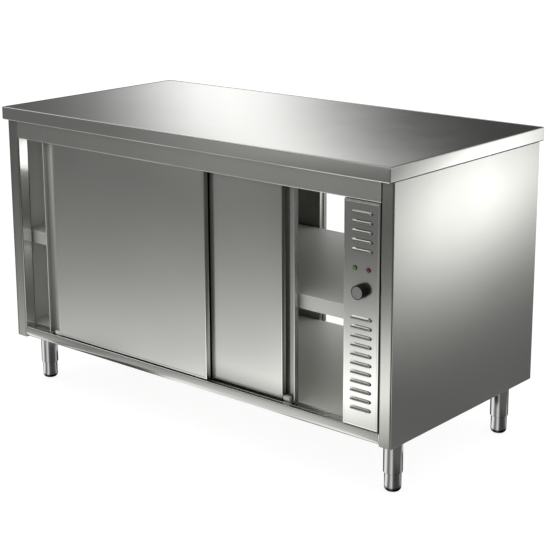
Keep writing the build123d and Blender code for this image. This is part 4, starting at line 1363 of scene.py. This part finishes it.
# Each lamp: the painted shade of its rim, then the painted glow of its middle.
tints = {"green": ((0.012, 0.022, 0.008), (0.075, 0.15, 0.02)),
         "red": ((0.018, 0.003, 0.004), (0.16, 0.006, 0.014))}
for name, (rim, dome) in tints.items():
    lamp_x, _, lamp_z = middle_of("pilot_lamp_" + name)
    glass = lens(name + "_lens", rim, dome, lamp_x, lamp_z)
    shell = placed(lamp, (lamp_x, -frame_half, lamp_z), forward)
    dress(f"pilot_lamp_{name}_lens", [shell], "cabinet", [glass],
          ["pilot_lamp_" + name])

# %% [markdown]
# ## Galvanised sheet, zinc, enamel and the hot tube
# Hidden work is cheaper metal. Hot-dipped zinc shows spangles, crystals a centimetre
# wide, which a Voronoi pattern draws well. Screws are plated. The motor is enamelled,
# and the heating tube has been tinted brown and blue by its own heat.

# %% Finishes of the hidden parts
spangle_swing, spangle_bump, spangle_grain = 0.15, 0.08, 400.0
coat_swing, peel_bump, peel_grain = 0.12, 0.12, 900.0
blend_from, blend_to, relief = 0.35, 0.65, 0.0003


def spangled(name, shade, roughness, spangles, contrast):
    """Zinc: each Voronoi cell takes its own shade and roughness."""
    material, tree, shader, place = surface(name)
    shader.inputs["Metallic"].default_value = 1.0
    cells = wire(tree, "TexVoronoi", place)
    cells.inputs["Scale"].default_value = spangles
    pick = wire(tree, "SeparateXYZ", cells.outputs["Color"]).outputs[0]
    tree.links.new(mixed(tree, pick, scaled(shade, 1 - contrast), scaled(shade, 1 + contrast)),
                   shader.inputs["Base Color"])
    tree.links.new(calc(tree, "MULTIPLY_ADD", pick, spangle_swing, roughness),
                   shader.inputs["Roughness"])
    bumped(tree, shader, noise(tree, place, spangle_grain), spangle_bump, relief)
    return material


def coated(name, first, second, scale, roughness, metallic):
    """Enamel or heat tint: two shades blended by a cloud, with a fine orange-peel bump."""
    material, tree, shader, place = surface(name)
    shader.inputs["Metallic"].default_value = metallic
    cloud = noise(tree, place, scale, detail=3.0)
    tree.links.new(mixed(tree, ease(tree, cloud, blend_from, blend_to), first, second),
                   shader.inputs["Base Color"])
    tree.links.new(uneven(tree, roughness, coat_swing, cloud), shader.inputs["Roughness"])
    bumped(tree, shader, noise(tree, place, peel_grain), peel_bump, relief)
    return material


galvanised = spangled("galvanised_sheet", (0.55, 0.57, 0.58), 0.36, 80.0, 0.12)
zinc = spangled("zinc_plate", (0.64, 0.65, 0.66), 0.30, 500.0, 0.05)
hot_tube = coated("heat_tinted_tube", (0.30, 0.22, 0.15), (0.20, 0.22, 0.28), 40.0, 0.42, 1.0)
enamel = coated("motor_enamel", (0.030, 0.034, 0.038), (0.045, 0.050, 0.055), 60.0, 0.40, 0.0)
print("hidden finishes: galvanised, zinc, heat tint, enamel")

# %% [markdown]
# ## Finishing the parts whose shape is already right
# The remaining nodes keep their own meshes: straight folded parts, plain fittings and
# the heater. Only their finish is missing, and the slots of a node's object take it.

# %% Give the other nodes their finishes
finishes = {
    "worktop_stiffeners": galvanised, "floor_panel": inner_steel, "compartment_wall": inner_steel,
    "shelf_brackets": inner_steel, "track_screws": zinc, "door_track_front": galvanised,
    "door_track_back": galvanised, "thermostat_body": black_plastic, "thermostat_spindle": zinc,
    "air_duct": galvanised, "heating_element": hot_tube, "fan_motor": enamel, "fan_wheel": zinc,
    "terminal_block": black_plastic, "cable_gland": grey_plastic}
for door_name in handle_side:
    finishes[door_name + "_door_liner"] = liner_steel
    for part in ("shoes", "roller_plain_end", "roller_handle_end"):
        finishes[f"{door_name}_door_{part}"] = nylon
for node_name, material in finishes.items():
    node = nodes[node_name]
    node.data.materials.clear()
    node.data.materials.append(material)
left_over = [name for name, node in nodes.items() if name not in finishes and not node.hide_render]
print("finished nodes:", len(finishes), "- without a finish:", left_over)
